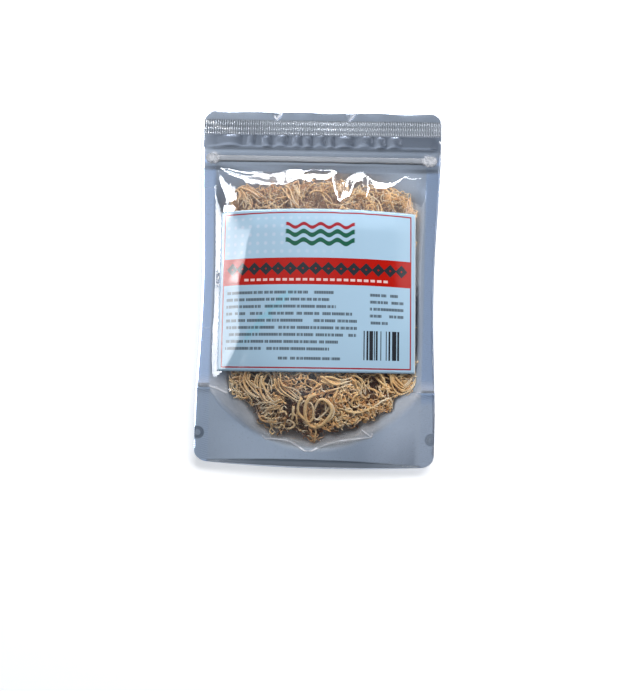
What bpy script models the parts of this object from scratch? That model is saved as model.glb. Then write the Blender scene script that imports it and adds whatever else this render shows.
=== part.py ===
# A stand-up pouch of dried sea moss, lying on its back.
# X runs across the pouch, +Y towards its zip and +Z up. The origin is on the surface
# that it lies on, under the middle of its outline. All sizes are in metres.

import math
import random

import bmesh
import bpy
from mathutils import Matrix, Vector, noise

# Outline of the pouch
HALF_WIDTH = 0.080
HALF_LENGTH = 0.1195
CORNER_RADIUS = 0.008
WAIST_PINCH = 0.0030  # how far each side is drawn in by the filling
WAIST_REACH = 0.095  # how far from the middle that goes, each way
SIDE_SEAL = 0.008
TEAR_NOTCH_DEPTH = 0.0015
TEAR_NOTCH_Y = 0.101
TEAR_NOTCH_HALF = 0.0012

# Films, and the gap that separate pieces keep
FILM = 0.0005
GAP = 0.0003
LABEL_FILM = 0.0004
LABEL_GAP = 0.0005

# Filling: the seals' height over the surface, and how far each film bulges from them
SEAL_HEIGHT = 0.012
TOP_DROOP = 0.0035
BOTTOM_DROOP = 0.0060
FRONT_RISE = 0.0195
BACK_SAG = 0.0170
SIDE_POWER = 2.3
FLAT_BLEND = 0.0025
POCKET_TOP = 0.084
SHOULDER = 0.045
FOOT_SLOPE = 0.060
LUMP_HEIGHT = 0.0008
LUMP_SIZE = 0.024

# Bottom gusset: its fold, the round seal above it, and the skirt's open edge
GUSSET_FOLD_Y = -0.071
ROUND_SEAL_LOW = -0.109
ROUND_SEAL_HIGH = -0.070
ROUND_SEAL_POWER = 2.2
SKIRT_CORNER_Y = -0.1172
SKIRT_START_Y = -0.090
SKIRT_HALF = 0.068
FRONT_EDGE_BACK = 0.0034
SKIRT_LIFT = 0.0045
SPOT_SEAL_RADIUS = 0.0045
SPOT_SEAL_Y = -0.0975
SPOT_SEAL_INSET = 0.0018

# Press-to-close zip
ZIP_Y = 0.090
ZIP_HALF_BAND = 0.0065
ZIP_FLANGE = 0.0004
ZIP_HEIGHT = 0.0015
ZIP_BLOCK_HALF = 0.0019
ZIP_NECK_HALF = 0.00055
ZIP_CHAMBER_HALF = 0.0011
ZIP_CHAMBER_TOP = 0.0012
BEAD_STEM_HALF = 0.00028
BEAD_HEAD_HALF = 0.0008
BEAD_HEAD_LOW = 0.0008
BEAD_TOP = 0.00098
ZIP_RIB_SHARE = 0.93  # the rib stops at this share of the pocket's half width
ZIP_FLAT_LAP = 0.0020
ZIP_END_PAD = 0.0040
BEAD_SHORTER = 0.0025

# Paper label, measured flat, and where its middle is
LABEL_WIDTH = 0.139
LABEL_LENGTH = 0.106
LABEL_X = -0.0008
LABEL_ACROSS = 12
LABEL_ALONG = 10

# Sea moss: each tuft's middle, its reach, how many strands it has, and its seed
TUFTS = {
    "moss_tuft_top_left": ((-0.045, 0.057), (0.024, 0.021), 10, 11),
    "moss_tuft_top_middle": ((-0.001, 0.060), (0.024, 0.021), 10, 12),
    "moss_tuft_top_right": ((0.044, 0.057), (0.024, 0.021), 10, 13),
    "moss_tuft_upper_left": ((-0.034, 0.017), (0.034, 0.022), 7, 14),
    "moss_tuft_upper_right": ((0.034, 0.017), (0.034, 0.022), 7, 15),
    "moss_tuft_lower_left": ((-0.034, -0.025), (0.034, 0.022), 7, 16),
    "moss_tuft_lower_right": ((0.034, -0.025), (0.034, 0.022), 7, 17),
    "moss_tuft_bottom_left": ((-0.042, -0.064), (0.024, 0.019), 10, 28),
    "moss_tuft_bottom_middle": ((-0.002, -0.077), (0.024, 0.022), 10, 19),
    "moss_tuft_bottom_right": ((0.040, -0.064), (0.024, 0.019), 10, 20),
}
CORE_SHARE = 0.70
CORE_TO_FILM = 0.0048
CORE_LUMP = 0.0040
STRAND_RADIUS = 0.00145
STRAND_TIP_RADIUS = 0.00070
STRAND_LENGTH = (0.034, 0.048)
STRAND_STEPS = 8
STRAND_CURL = (0.40, 0.95)
STRAND_OUT = (0.85, 1.15, 1.45)  # how far out a strand's root, body and tip are, in core sizes
STRAND_FROM = (1.0, 0.0)  # heights on the core, from its top to its waist, where strands start
BRANCH_LENGTH = (0.009, 0.013)
BRANCH_STEPS = 3
BRANCH_SPREAD = 0.8
BRANCH_FROM = (3, 6)
BRANCH_EVERY = 3
BRANCHED_FROM = 10  # tufts with fewer strands, under the label, have no side branches
STEP_TRIES = 24
STRAND_ROOM = 0.0046
TUBE_SIDES = 3
MOSS_TO_FILM = 0.0012
MOSS_TO_MOSS = 0.0003
MARGIN_SPREAD = 0.0012

# Where the sheets have their columns, as shares of the width between the side seals,
# and their rows, as places along Y
INNER_COLUMNS = (0.0, 0.17, 0.34, 0.50, 0.65, 0.78, 0.88, 0.95, 1.0)
SKIRT_ROWS = (-0.1195, -0.1178, -0.1148, -0.1112, -0.103, -0.0965, -0.089, -0.081, -0.0725)
BODY_ROWS = (-0.065, -0.052, -0.036, -0.019, -0.001, 0.017, 0.033, 0.045)
SHOULDER_ROWS = (0.055, 0.064, 0.072, 0.079)
ZIP_ROWS = (0.0842, 0.0874, 0.0926, 0.0958)
TOP_ROWS = (0.0998, 0.101, 0.1022, 0.1116, 0.1148, 0.1178, 0.1195)
FOLD_TURNS = 3

COLOURS = {
    "front_film": ((0.80, 0.84, 0.88, 0.25), 0.06, 0.0),
    "back_film": ((0.42, 0.47, 0.55, 1.0), 0.34, 1.0),
    "gusset": ((0.45, 0.49, 0.57, 1.0), 0.34, 1.0),
    "zip_channel": ((0.72, 0.71, 0.70, 1.0), 0.30, 0.0),
    "zip_bead": ((0.72, 0.71, 0.70, 1.0), 0.30, 0.0),
    "label": ((0.40, 0.63, 0.78, 1.0), 0.35, 0.0),
    "moss": ((0.62, 0.40, 0.19, 1.0), 0.60, 0.0),
}


def clear_scene():
    for obj in list(bpy.data.objects):
        bpy.data.objects.remove(obj)


def material(name):
    colour, roughness, metallic = COLOURS[name]
    made = bpy.data.materials.get(name)
    if made is None:
        made = bpy.data.materials.new(name)
        made.use_nodes = True
        shader = made.node_tree.nodes["Principled BSDF"]
        shader.inputs["Base Color"].default_value = colour
        shader.inputs["Alpha"].default_value = colour[3]
        shader.inputs["Roughness"].default_value = roughness
        shader.inputs["Metallic"].default_value = metallic
    return made


def add_object(name, mesh, material_name):
    obj = bpy.data.objects.new(name, mesh)
    mesh.materials.append(material(material_name))
    bpy.context.scene.collection.objects.link(obj)
    return obj


def new_collection(name):
    made = bpy.data.collections.new(name)
    bpy.context.scene.collection.children.link(made)
    return made


def disc(name, radius, place, low, high, sides=16):
    """An upright cylinder from low to high over a place, not yet in any collection."""
    builder = bmesh.new()
    bmesh.ops.create_cone(
        builder, cap_ends=True, segments=sides, radius1=radius, radius2=radius, depth=high - low,
        matrix=Matrix.Translation(Vector(place) + Vector((0, 0, 0.5 * (low + high)))))
    mesh = bpy.data.meshes.new(name)
    builder.to_mesh(mesh)
    builder.free()
    return bpy.data.objects.new(name, mesh)


def slab(name, place, width, length, low, high):
    """An upright box over a place, not yet in any collection."""
    builder = bmesh.new()
    size = Matrix.Diagonal(Vector((width, length, high - low, 1)))
    middle = Vector(place) + Vector((0, 0, 0.5 * (low + high)))
    bmesh.ops.create_cube(builder, size=1.0, matrix=Matrix.Translation(middle) @ size)
    mesh = bpy.data.meshes.new(name)
    builder.to_mesh(mesh)
    builder.free()
    return bpy.data.objects.new(name, mesh)


def rise(share, power=2.2):
    """0 at the edge of the filling, 1 from a share of 1 on, steepest at the edge."""
    share = min(max(share, 0.0), 1.0)
    return 1 - (1 - share) ** power


def bow(x, half):
    """1 at the middle of a width, 0 at its ends and past them."""
    return max(0.0, 1 - (x / half) ** 2)


def side_x(y):
    """Half the outline's width at y, before the corners are rounded."""
    return HALF_WIDTH - WAIST_PINCH * bow(y, WAIST_REACH) ** 2


def outline_x(y):
    """Half the outline's width at y, with its round corners and tear notches."""
    past = max(0.0, abs(y) - (HALF_LENGTH - CORNER_RADIUS))
    corner = CORNER_RADIUS - math.sqrt(max(0.0, CORNER_RADIUS ** 2 - past ** 2))
    notch = TEAR_NOTCH_DEPTH * (abs(y - TEAR_NOTCH_Y) < 0.5 * TEAR_NOTCH_HALF)
    return side_x(y) - corner - notch


def seal_z(y):
    """Height of the sealed edges over the surface that the pouch lies on."""
    droop = TOP_DROOP if y > 0 else BOTTOM_DROOP
    return SEAL_HEIGHT - droop * (y / HALF_LENGTH) ** 2


def round_seal_y(x):
    """The curved seal at the foot of the pocket."""
    share = min(1.0, abs(x) / (HALF_WIDTH - SIDE_SEAL))
    return ROUND_SEAL_LOW + (ROUND_SEAL_HIGH - ROUND_SEAL_LOW) * share ** ROUND_SEAL_POWER


def fullness(x, y):
    """0 on the seals round the pocket and 1 where the filling is thickest."""
    across = abs(x) / (side_x(y) - SIDE_SEAL)
    if across >= 1:
        return 0.0
    side = 1 - across ** SIDE_POWER
    return side * rise((POCKET_TOP - y) / SHOULDER) * rise((y - round_seal_y(x)) / FOOT_SLOPE)


def lump(x, y, seed):
    return LUMP_HEIGHT * noise.noise(Vector((x / LUMP_SIZE, y / LUMP_SIZE, seed)))


def film_half_gap(y):
    """How far each film's inner face is from the seals' middle, for what lies between."""
    if abs(y - ZIP_Y) < ZIP_HALF_BAND:
        return 0.5 * GAP + ZIP_FLANGE + GAP
    if y < GUSSET_FOLD_Y:
        return 0.5 * GAP + FILM + GAP
    return 0.5 * GAP


def skirt_share(y):
    return min(max((SKIRT_START_Y - y) / (SKIRT_START_Y + HALF_LENGTH), 0.0), 1.0)


def front_z(x, y):
    """Inner face of the clear front film."""
    full = fullness(x, y)
    over_zip = ZIP_HEIGHT - ZIP_FLANGE if abs(y - ZIP_Y) < 0.5 * ZIP_HALF_BAND else 0.0
    over_zip *= abs(x) < INNER_COLUMNS[-2] * (side_x(y) - SIDE_SEAL) + 0.0001
    skirt = SKIRT_LIFT * bow(x, SKIRT_HALF) * skirt_share(y)
    return seal_z(y) + film_half_gap(y) + over_zip + skirt + full * (FRONT_RISE + lump(x, y, 1.0))


def back_z(x, y):
    """Inner face of the silver back film, which lies flat where the pouch rests."""
    sag = BACK_SAG * fullness(x, y)
    over = seal_z(y) - film_half_gap(y) - FILM - sag
    if over < -FLAT_BLEND:
        return FILM
    if over < FLAT_BLEND:
        return FILM + (over + FLAT_BLEND) ** 2 / (4 * FLAT_BLEND)
    return FILM + over


def leaf_z(x, y):
    """Middle of the gusset's front leaf: on the front film in its seal, under the filling above it."""
    under_film = front_z(x, y) - fullness(x, y) * (FRONT_RISE + lump(x, y, 1.0)) - GAP - 0.5 * FILM
    full = fullness(x, y)
    lowest = back_leaf_z(x, y) + FILM + GAP
    return max(under_film - BACK_SAG * full, lowest)


def back_leaf_z(x, y):
    """Middle of the gusset's back leaf, on the back film."""
    return back_z(x, y) + GAP + 0.5 * FILM


def front_edge_y(x, y):
    """The front film's rows, drawn in towards the zip where the skirt stands open."""
    mid = FRONT_EDGE_BACK * bow(x, SKIRT_HALF) - (HALF_LENGTH + SKIRT_CORNER_Y)
    return y + skirt_share(y) * (mid + 2 * (HALF_LENGTH + SKIRT_CORNER_Y))


def back_edge_y(x, y):
    """The back film's rows, whose last one bows out between the corners."""
    return y + skirt_share(y) * (HALF_LENGTH + SKIRT_CORNER_Y) * (1 - bow(x, HALF_WIDTH))


def columns():
    """Column places from one side to the other: a seal's outer edge is 2, its inner edge 1."""
    half = list(INNER_COLUMNS) + [2.0]
    return [-c for c in reversed(half[1:])] + half


def column_x(column, y):
    outer = outline_x(y)
    inner = min(side_x(y) - SIDE_SEAL, outer - 0.3 * SIDE_SEAL)
    size = abs(column)
    x = size * inner if size <= 1 else inner + (size - 1) * (outer - inner)
    return math.copysign(x, column)


def sheet(name, grid, material_name, thickness, offset, flip=False):
    """One film as a grid of points, each cell split along its higher diagonal, then thickened."""
    mesh = bpy.data.meshes.new(name)
    points = [point for row in grid for point in row]
    wide = len(grid[0])
    faces = []
    for r in range(len(grid) - 1):
        for c in range(wide - 1):
            a, b = r * wide + c, r * wide + c + 1
            d, e = a + wide, b + wide
            rising = points[a][2] + points[e][2] > points[b][2] + points[d][2]
            corners = [(a, b, e), (a, e, d)] if rising else [(a, b, d), (b, e, d)]
            faces += [tuple(reversed(f)) if flip else f for f in corners]
    mesh.from_pydata(points, [], faces)
    mesh.shade_smooth()
    obj = add_object(name, mesh, material_name)
    solid = obj.modifiers.new("Solidify", "SOLIDIFY")
    solid.thickness = thickness
    solid.offset = offset
    return obj


def film_grid(rows, move_y, height):
    grid = []
    for row in rows:
        line = []
        for column in columns():
            x = column_x(column, row)
            line.append((x, move_y(x, row), height(x, row)))
        grid.append(line)
    return grid


def make_films():
    rows = SKIRT_ROWS + BODY_ROWS + SHOULDER_ROWS + ZIP_ROWS + TOP_ROWS
    sheet("front_film", film_grid(rows, front_edge_y, front_z), "front_film", FILM, 1.0)
    sheet("back_film", film_grid(rows, back_edge_y, back_z), "back_film", FILM, 1.0, flip=True)


def make_gusset():
    """One film folded in two: a front leaf, the fold, and a back leaf, notched at its sides."""
    front = film_grid(SKIRT_ROWS, front_edge_y, leaf_z)
    back = film_grid(SKIRT_ROWS, back_edge_y, back_leaf_z)
    fold = []
    for turn in range(1, FOLD_TURNS + 1):
        angle = math.pi * turn / (FOLD_TURNS + 1)
        line = []
        for (x, y, high), (_, _, low) in zip(front[-1], back[-1]):
            half = 0.5 * (high - low)
            bulge = min(half, abs(GUSSET_FOLD_Y - y))
            line.append((x, y + bulge * math.sin(angle), low + half * (1 + math.cos(angle))))
        fold.append(line)
    gusset = sheet("gusset", front + fold + back[::-1], "gusset", FILM, 0.0)
    for side in (-1, 1):
        place = (side * (outline_x(SPOT_SEAL_Y) - SPOT_SEAL_INSET), SPOT_SEAL_Y, seal_z(SPOT_SEAL_Y))
        cutter = disc(f"spot_seal_cutter_{side}", SPOT_SEAL_RADIUS, place, -0.02, 0.02)
        bpy.context.scene.collection.objects.link(cutter)
        cutter.hide_render = True
        cutter.display_type = "WIRE"
        cut = gusset.modifiers.new("Spot seal", "BOOLEAN")
        cut.operation = "DIFFERENCE"
        cut.object = cutter


def mirrored(half):
    """A closed profile from its right half, given from the bottom up."""
    return half + [(-y, z) for y, z in reversed(half)]


def zip_strip(name, profile, low, high, shorter):
    """A strip of one profile across the pouch, with its ends pressed flat in the side seals."""
    seal = side_x(ZIP_Y) - SIDE_SEAL
    reach = ZIP_RIB_SHARE * seal - shorter
    builder = bmesh.new()
    ends = []
    for x in (-reach, reach):
        ends.append([builder.verts.new((x, ZIP_Y + y, z)) for y, z in profile])
    count = len(profile)
    for i in range(count):
        j = (i + 1) % count
        builder.faces.new((ends[0][i], ends[0][j], ends[1][j], ends[1][i]))
    builder.faces.new(list(reversed(ends[0])))
    builder.faces.new(ends[1])
    bmesh.ops.recalc_face_normals(builder, faces=builder.faces)
    mesh = bpy.data.meshes.new(name)
    builder.to_mesh(mesh)
    builder.free()
    strip = add_object(name, mesh, name)
    pads = new_collection(name + "_pads")
    for side in (-1, 1):
        flat_x = side * 0.5 * (reach + seal)
        flat_width = seal - reach + 2 * ZIP_FLAT_LAP
        flat_length = 2 * (ZIP_HALF_BAND - GAP)
        pads.objects.link(slab("flat", (flat_x, ZIP_Y, 0), flat_width, flat_length, low, high))
        pad_x = side * (seal + 0.5 * SIDE_SEAL)
        pads.objects.link(disc("pad", ZIP_END_PAD, (pad_x, ZIP_Y, 0), low, high))
    join(strip, pads)
    for vertex in strip.data.vertices:
        vertex.co.z += seal_z(vertex.co.y)


def linked_faces(face):
    """All faces that can be reached from one face over shared edges."""
    reached, waiting = {face}, [face]
    while waiting:
        for edge in waiting.pop().edges:
            for other in edge.link_faces:
                if other not in reached:
                    reached.add(other)
                    waiting.append(other)
    return reached


def enclosed_volume(faces):
    return sum(face.normal.dot(face.calc_center_median()) * face.calc_area() for face in faces) / 3


def keep_largest_body(mesh):
    """Fills the hollows that a union sealed and drops its loose scraps."""
    builder = bmesh.new()
    builder.from_mesh(mesh)
    bmesh.ops.triangulate(builder, faces=builder.faces)
    waiting, bodies = set(builder.faces), []
    while waiting:
        body = linked_faces(next(iter(waiting)))
        bodies.append(body)
        waiting -= body
    largest = max(bodies, key=enclosed_volume)
    rest = [face for face in builder.faces if face not in largest]
    bmesh.ops.delete(builder, geom=rest, context="FACES")
    builder.to_mesh(mesh)
    builder.free()


def join(base, collection):
    """Unites a base with all of a collection's objects, and removes those objects."""
    union = base.modifiers.new("Join", "BOOLEAN")
    union.operation = "UNION"
    union.operand_type = "COLLECTION"
    union.collection = collection
    union.solver = "EXACT"
    union.use_self = True
    graph = bpy.context.evaluated_depsgraph_get()
    united = bpy.data.meshes.new_from_object(base.evaluated_get(graph))
    keep_largest_body(united)
    base.modifiers.clear()
    base.data = united
    for obj in list(collection.objects):
        bpy.data.objects.remove(obj)
    bpy.data.collections.remove(collection)


def make_zip():
    low = 0.5 * GAP
    flange = low + ZIP_FLANGE
    channel = [
        (ZIP_HALF_BAND - GAP, low), (ZIP_HALF_BAND - GAP, flange), (ZIP_BLOCK_HALF, flange),
        (0.8 * ZIP_BLOCK_HALF, ZIP_HEIGHT), (-0.8 * ZIP_BLOCK_HALF, ZIP_HEIGHT),
        (-ZIP_BLOCK_HALF, flange), (GAP - ZIP_HALF_BAND, flange), (GAP - ZIP_HALF_BAND, low),
        (-ZIP_NECK_HALF, low), (-ZIP_NECK_HALF, flange), (-ZIP_CHAMBER_HALF, flange),
        (-ZIP_CHAMBER_HALF, ZIP_CHAMBER_TOP), (ZIP_CHAMBER_HALF, ZIP_CHAMBER_TOP),
        (ZIP_CHAMBER_HALF, flange), (ZIP_NECK_HALF, flange), (ZIP_NECK_HALF, low),
    ]
    bead = mirrored([
        (ZIP_HALF_BAND - GAP, -flange), (ZIP_HALF_BAND - GAP, -low), (BEAD_STEM_HALF, -low),
        (BEAD_STEM_HALF, BEAD_HEAD_LOW), (BEAD_HEAD_HALF, BEAD_HEAD_LOW), (0.5 * BEAD_HEAD_HALF, BEAD_TOP),
    ])
    zip_strip("zip_channel", channel, low, flange, 0)
    zip_strip("zip_bead", bead, -flange, -low, BEAD_SHORTER)


def slope_stretch(x, y):
    """How much longer the front film is than its shadow on the ground, at its steepest way."""
    step = 0.001
    along_x = (front_z(x + step, y) - front_z(x - step, y)) / (2 * step)
    along_y = (front_z(x, y + step) - front_z(x, y - step)) / (2 * step)
    return math.sqrt(1 + along_x ** 2 + along_y ** 2)


def wrapped(length, height):
    """The place along one axis that a length reaches when it follows height."""
    place, used, step = 0.0, 0.0, 0.0005
    while used < length:
        used += math.hypot(step, height(place + step) - height(place))
        place += step
    return place


def make_label():
    half_x = wrapped(0.5 * LABEL_WIDTH, lambda x: front_z(x, 0.0))
    half_y = wrapped(0.5 * LABEL_LENGTH, lambda y: front_z(0.0, y))
    grid = []
    for r in range(LABEL_ALONG + 1):
        y = half_y * (2 * r / LABEL_ALONG - 1)
        line = []
        for c in range(LABEL_ACROSS + 1):
            x = LABEL_X + half_x * (2 * c / LABEL_ACROSS - 1)
            over = (FILM + LABEL_GAP) * slope_stretch(x, y)
            line.append((x, y, front_z(x, y) + over))
        grid.append(line)
    sheet("label", grid, "label", LABEL_FILM, 1.0)


def pocket_floor(x, y):
    """Top of what lies under the filling."""
    if y < GUSSET_FOLD_Y + 0.004:
        return max(back_z(x, y), leaf_z(x, min(y, SKIRT_ROWS[-1])) + 0.5 * FILM + 0.0006)
    return back_z(x, y)


def tuft_middle(name):
    (x, y), _, _, _ = TUFTS[name]
    return Vector((x, y, 0.5 * (pocket_floor(x, y) + front_z(x, y))))


def contained(point, radius, name):
    """The point, moved into the tuft's own share of the pouch."""
    middle = tuft_middle(name)
    clear = radius + MOSS_TO_FILM
    for _ in range(12):
        for other in TUFTS:
            if other == name:
                continue
            away = tuft_middle(other) - middle
            over = (point - middle).dot(away.normalized()) + radius + 0.5 * MOSS_TO_MOSS - 0.5 * away.length
            if over > 0:
                point = point - away.normalized() * over
        low = pocket_floor(point.x, point.y) + clear
        high = front_z(point.x, point.y) - clear * 1.15
        if fullness(point.x, point.y) > 0 and high > low:
            return Vector((point.x, point.y, min(max(point.z, low), high)))
        point = point.lerp(middle, 0.15)
    return middle


def shaken(draw, way, amount):
    nudge = Vector((draw.gauss(0, amount), draw.gauss(0, amount), draw.gauss(0, amount)))
    return (way.normalized() + nudge).normalized()


def core_size(name):
    _, reach, _, _ = TUFTS[name]
    middle = tuft_middle(name)
    deep = 0.5 * (front_z(middle.x, middle.y) - pocket_floor(middle.x, middle.y))
    return Vector((reach[0] * CORE_SHARE, reach[1] * CORE_SHARE, deep - CORE_TO_FILM))


def out_from_core(point, name):
    """1 on the core's own ellipsoid and more outside it."""
    size = core_size(name)
    away = point - tuft_middle(name)
    return Vector((away.x / size.x, away.y / size.y, away.z / size.z)).length


def strand_path(draw, name, start, outward, length, steps, out, taken):
    """A curling line over the tuft's core, clear of the points that are taken."""
    stride = length / steps
    curl = draw.uniform(*STRAND_CURL)
    margin = STRAND_RADIUS + draw.uniform(0, MARGIN_SPREAD)
    middle_z = tuft_middle(name).z
    heading = outward.normalized()
    axis = heading.orthogonal()
    axis.rotate(Matrix.Rotation(draw.uniform(0, 2 * math.pi), 3, heading))
    path = [contained(start, margin, name)]
    for i in range(steps):
        wanted_out = out[0] + (out[1] - out[0]) * (i + 1) / steps
        best = None
        for attempt in range(STEP_TRIES):
            turn = shaken(draw, axis, 0.25 + 0.05 * attempt)
            ahead = heading.copy()
            ahead.rotate(Matrix.Rotation(curl * draw.uniform(0.5, 1.2 + 0.08 * attempt), 3, turn))
            wanted = path[-1] + ahead * stride
            point = contained(wanted, margin, name)
            room = min([(point - other).length for other in taken + path[:-1]] + [STRAND_ROOM])
            off_shell = abs(out_from_core(point, name) - wanted_out) * core_size(name).z
            score = room - 4 * (point - wanted).length - 0.6 * off_shell - max(0.0, middle_z - point.z)
            if best is None or score > best[0]:
                best = (score, point, turn)
        axis = best[2]
        heading = (best[1] - path[-1]).normalized()
        path.append(best[1])
    return path


def with_midpoints(path):
    return path + [near.lerp(far, 0.5) for near, far in zip(path, path[1:])]


def tube(path, thick, thin):
    """A closed tapering tube along a path, its rings turned as little as they can be."""
    builder = bmesh.new()
    ahead = (path[1] - path[0]).normalized()
    across = ahead.orthogonal().normalized()
    rings = []
    last = len(path) - 1
    for i, point in enumerate(path):
        tangent = (path[min(i + 1, last)] - path[max(i - 1, 0)]).normalized()
        across.rotate(ahead.rotation_difference(tangent))
        ahead = tangent
        radius = thick + (thin - thick) * i / last
        ring = []
        for s in range(TUBE_SIDES):
            spoke = across.copy()
            spoke.rotate(Matrix.Rotation(2 * math.pi * s / TUBE_SIDES, 3, ahead))
            ring.append(builder.verts.new(point + spoke * radius))
        rings.append(ring)
    for near, far in zip(rings, rings[1:]):
        for s in range(TUBE_SIDES):
            t = (s + 1) % TUBE_SIDES
            builder.faces.new((near[s], near[t], far[t], far[s]))
    builder.faces.new(list(reversed(rings[0])))
    builder.faces.new(rings[-1])
    bmesh.ops.triangulate(builder, faces=builder.faces)
    mesh = bpy.data.meshes.new("strand")
    builder.to_mesh(mesh)
    builder.free()
    return bpy.data.objects.new("strand", mesh)


def make_core(name):
    """The matted middle of a tuft, smaller than the strands that stand out of it."""
    _, _, _, seed = TUFTS[name]
    middle = tuft_middle(name)
    builder = bmesh.new()
    bmesh.ops.create_icosphere(builder, subdivisions=2, radius=1.0)
    for vertex in builder.verts:
        way = vertex.co.copy()
        lump_out = CORE_LUMP * noise.noise(way * 2.1 + Vector((seed, 0, 0)))
        vertex.co = contained(middle + way * core_size(name) + way * lump_out, 2 * STRAND_RADIUS, name)
    mesh = bpy.data.meshes.new(name)
    builder.to_mesh(mesh)
    builder.free()
    return add_object(name, mesh, "moss")


def make_tuft(name):
    """One tuft of dried sea moss: curled, forked strands joined to its core."""
    _, _, count, seed = TUFTS[name]
    draw = random.Random(seed)
    middle = tuft_middle(name)
    core = make_core(name)
    strands = new_collection(name + "_strands")
    golden = math.pi * (3 - math.sqrt(5))
    taken = []
    for i in range(count):
        height = STRAND_FROM[0] + (STRAND_FROM[1] - STRAND_FROM[0]) * (i + 0.5) / count
        flat = math.sqrt(1 - height * height)
        way = Vector((flat * math.cos(golden * i), flat * math.sin(golden * i), height))
        start = middle + STRAND_OUT[0] * way * core_size(name)
        along = way.cross(Vector((draw.gauss(0, 1), draw.gauss(0, 1), draw.gauss(0, 1))))
        path = strand_path(
            draw, name, start, along, draw.uniform(*STRAND_LENGTH), STRAND_STEPS, STRAND_OUT[1:], taken)
        taken += with_midpoints(path[1:])
        strands.objects.link(tube(path, STRAND_RADIUS, STRAND_TIP_RADIUS))
        if count < BRANCHED_FROM or i % BRANCH_EVERY:
            continue
        fork = draw.randint(*BRANCH_FROM)
        branch = strand_path(
            draw, name, path[fork].lerp(path[fork + 1], 0.5),
            shaken(draw, path[fork + 1] - path[fork], BRANCH_SPREAD),
            draw.uniform(*BRANCH_LENGTH), BRANCH_STEPS, (STRAND_OUT[2], STRAND_OUT[2]), taken)
        taken += with_midpoints(branch[1:])
        strands.objects.link(tube(branch, 0.8 * STRAND_RADIUS, STRAND_TIP_RADIUS))
    join(core, strands)


def main():
    clear_scene()
    make_films()
    make_gusset()
    make_zip()
    make_label()
    for name in TUFTS:
        make_tuft(name)


main()
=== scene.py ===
# Dried sea moss in a resealable stand-up pouch that lies on its back, seen from above.
# Sizes are in metres in the pouch's own frame: X across, +Y towards the zip, +Z up.
import math

import bmesh
import bpy
import numpy as np
from mathutils import Matrix, Vector, noise


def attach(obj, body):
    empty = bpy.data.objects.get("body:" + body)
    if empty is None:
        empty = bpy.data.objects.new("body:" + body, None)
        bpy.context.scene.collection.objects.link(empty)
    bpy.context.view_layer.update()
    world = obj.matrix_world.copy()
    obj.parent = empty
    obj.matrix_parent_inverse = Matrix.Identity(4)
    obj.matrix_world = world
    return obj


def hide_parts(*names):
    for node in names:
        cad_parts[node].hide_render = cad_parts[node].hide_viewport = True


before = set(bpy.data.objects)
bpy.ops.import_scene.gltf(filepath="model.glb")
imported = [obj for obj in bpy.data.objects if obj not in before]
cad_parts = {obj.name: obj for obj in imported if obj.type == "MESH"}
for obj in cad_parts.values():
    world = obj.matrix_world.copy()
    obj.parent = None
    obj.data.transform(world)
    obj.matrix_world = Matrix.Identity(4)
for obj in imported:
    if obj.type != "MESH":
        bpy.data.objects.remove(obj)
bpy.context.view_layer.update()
mm = 0.001

pouch = {
    "halfWidth": 0.080,
    "halfLength": 0.1195,
    "cornerRadius": 0.008,
    "waistPinch": 0.0030,
    "waistReach": 0.095,
    "sideSeal": 0.008,
    "sealHeight": 0.012,
    "topDroop": 0.0035,
    "bottomDroop": 0.0060,
    "frontRise": 0.0195,
    "backSag": 0.0170,
    "sidePower": 2.3,
    "flatBlend": 0.0025,
    "shoulder": 0.045,
    "footSlope": 0.060,
    "roundSealLow": -0.109,
    "roundSealHigh": -0.070,
    "roundSealPower": 2.2,
    "foldY": -0.0660,
    "film": 0.00022,  # thickness of each film as shown
    "gap": 0.0003,
}


# Shader maths

class Wire:  # a socket in a node tree: sums on wires add Math nodes
    def __init__(self, tree, socket=None):
        self.tree = tree
        self.socket = socket

    def add(self, kind, settings=None, inputs=None, out=0):
        node = self.tree.nodes.new("ShaderNode" + kind)
        for key, value in (settings or {}).items():
            if key == "stops":
                setStops(node.color_ramp, value)
            else:
                setattr(node, key, value)
        for key, value in (inputs or {}).items():
            if isinstance(value, Wire):
                self.tree.links.new(value.socket, node.inputs[key])
            else:
                node.inputs[key].default_value = value
        return Wire(self.tree, node.outputs[out])

    def math(self, operation, *others):
        return self.add("Math", {"operation": operation}, dict(enumerate((self,) + others)))

    def __add__(self, other):
        return self.math("ADD", other)

    def __sub__(self, other):
        return self.math("SUBTRACT", other)

    def __rsub__(self, other):
        return self.add("Math", {"operation": "SUBTRACT"}, {0: other, 1: self})

    def __mul__(self, other):
        return self.math("MULTIPLY", other)

    def __truediv__(self, other):
        return self.math("DIVIDE", other)

    def __pow__(self, other):
        return self.math("POWER", other)

    __radd__ = __add__
    __rmul__ = __mul__

    def between(self, low, high):  # 0 at low, 1 at high, smooth in between
        return self.add("MapRange", {"interpolation_type": "SMOOTHSTEP"},
                        {"Value": self, "From Min": low, "From Max": high})

    def within(self, low, high, soft):  # 1 from low to high, with soft ends
        return self.between(low - soft, low + soft) * (1 - self.between(high - soft, high + soft))

    def mix(self, first, second):  # this wire is the share of the second colour
        return self.add("Mix", {"data_type": "RGBA"}, {0: self, 6: first, 7: second}, out=2)

    def part(self, index):  # x, y or z of a vector
        return self.add("SeparateXYZ", None, {0: self}, out=index)

    def cloud(self, scale, detail=2.0):  # cloudy noise at this place
        return self.add("TexNoise", None, {"Vector": self, "Scale": scale, "Detail": detail})

    def bump(self, strength, distance):  # this wire is the height
        inputs = {"Strength": strength, "Distance": distance, "Height": self}
        return self.add("Bump", None, inputs, out="Normal")


def setStops(ramp, stops):
    while len(ramp.elements) < len(stops):
        ramp.elements.new(0.5)
    for element, (place, colour) in zip(ramp.elements, stops):
        element.position = place
        element.color = colour


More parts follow.
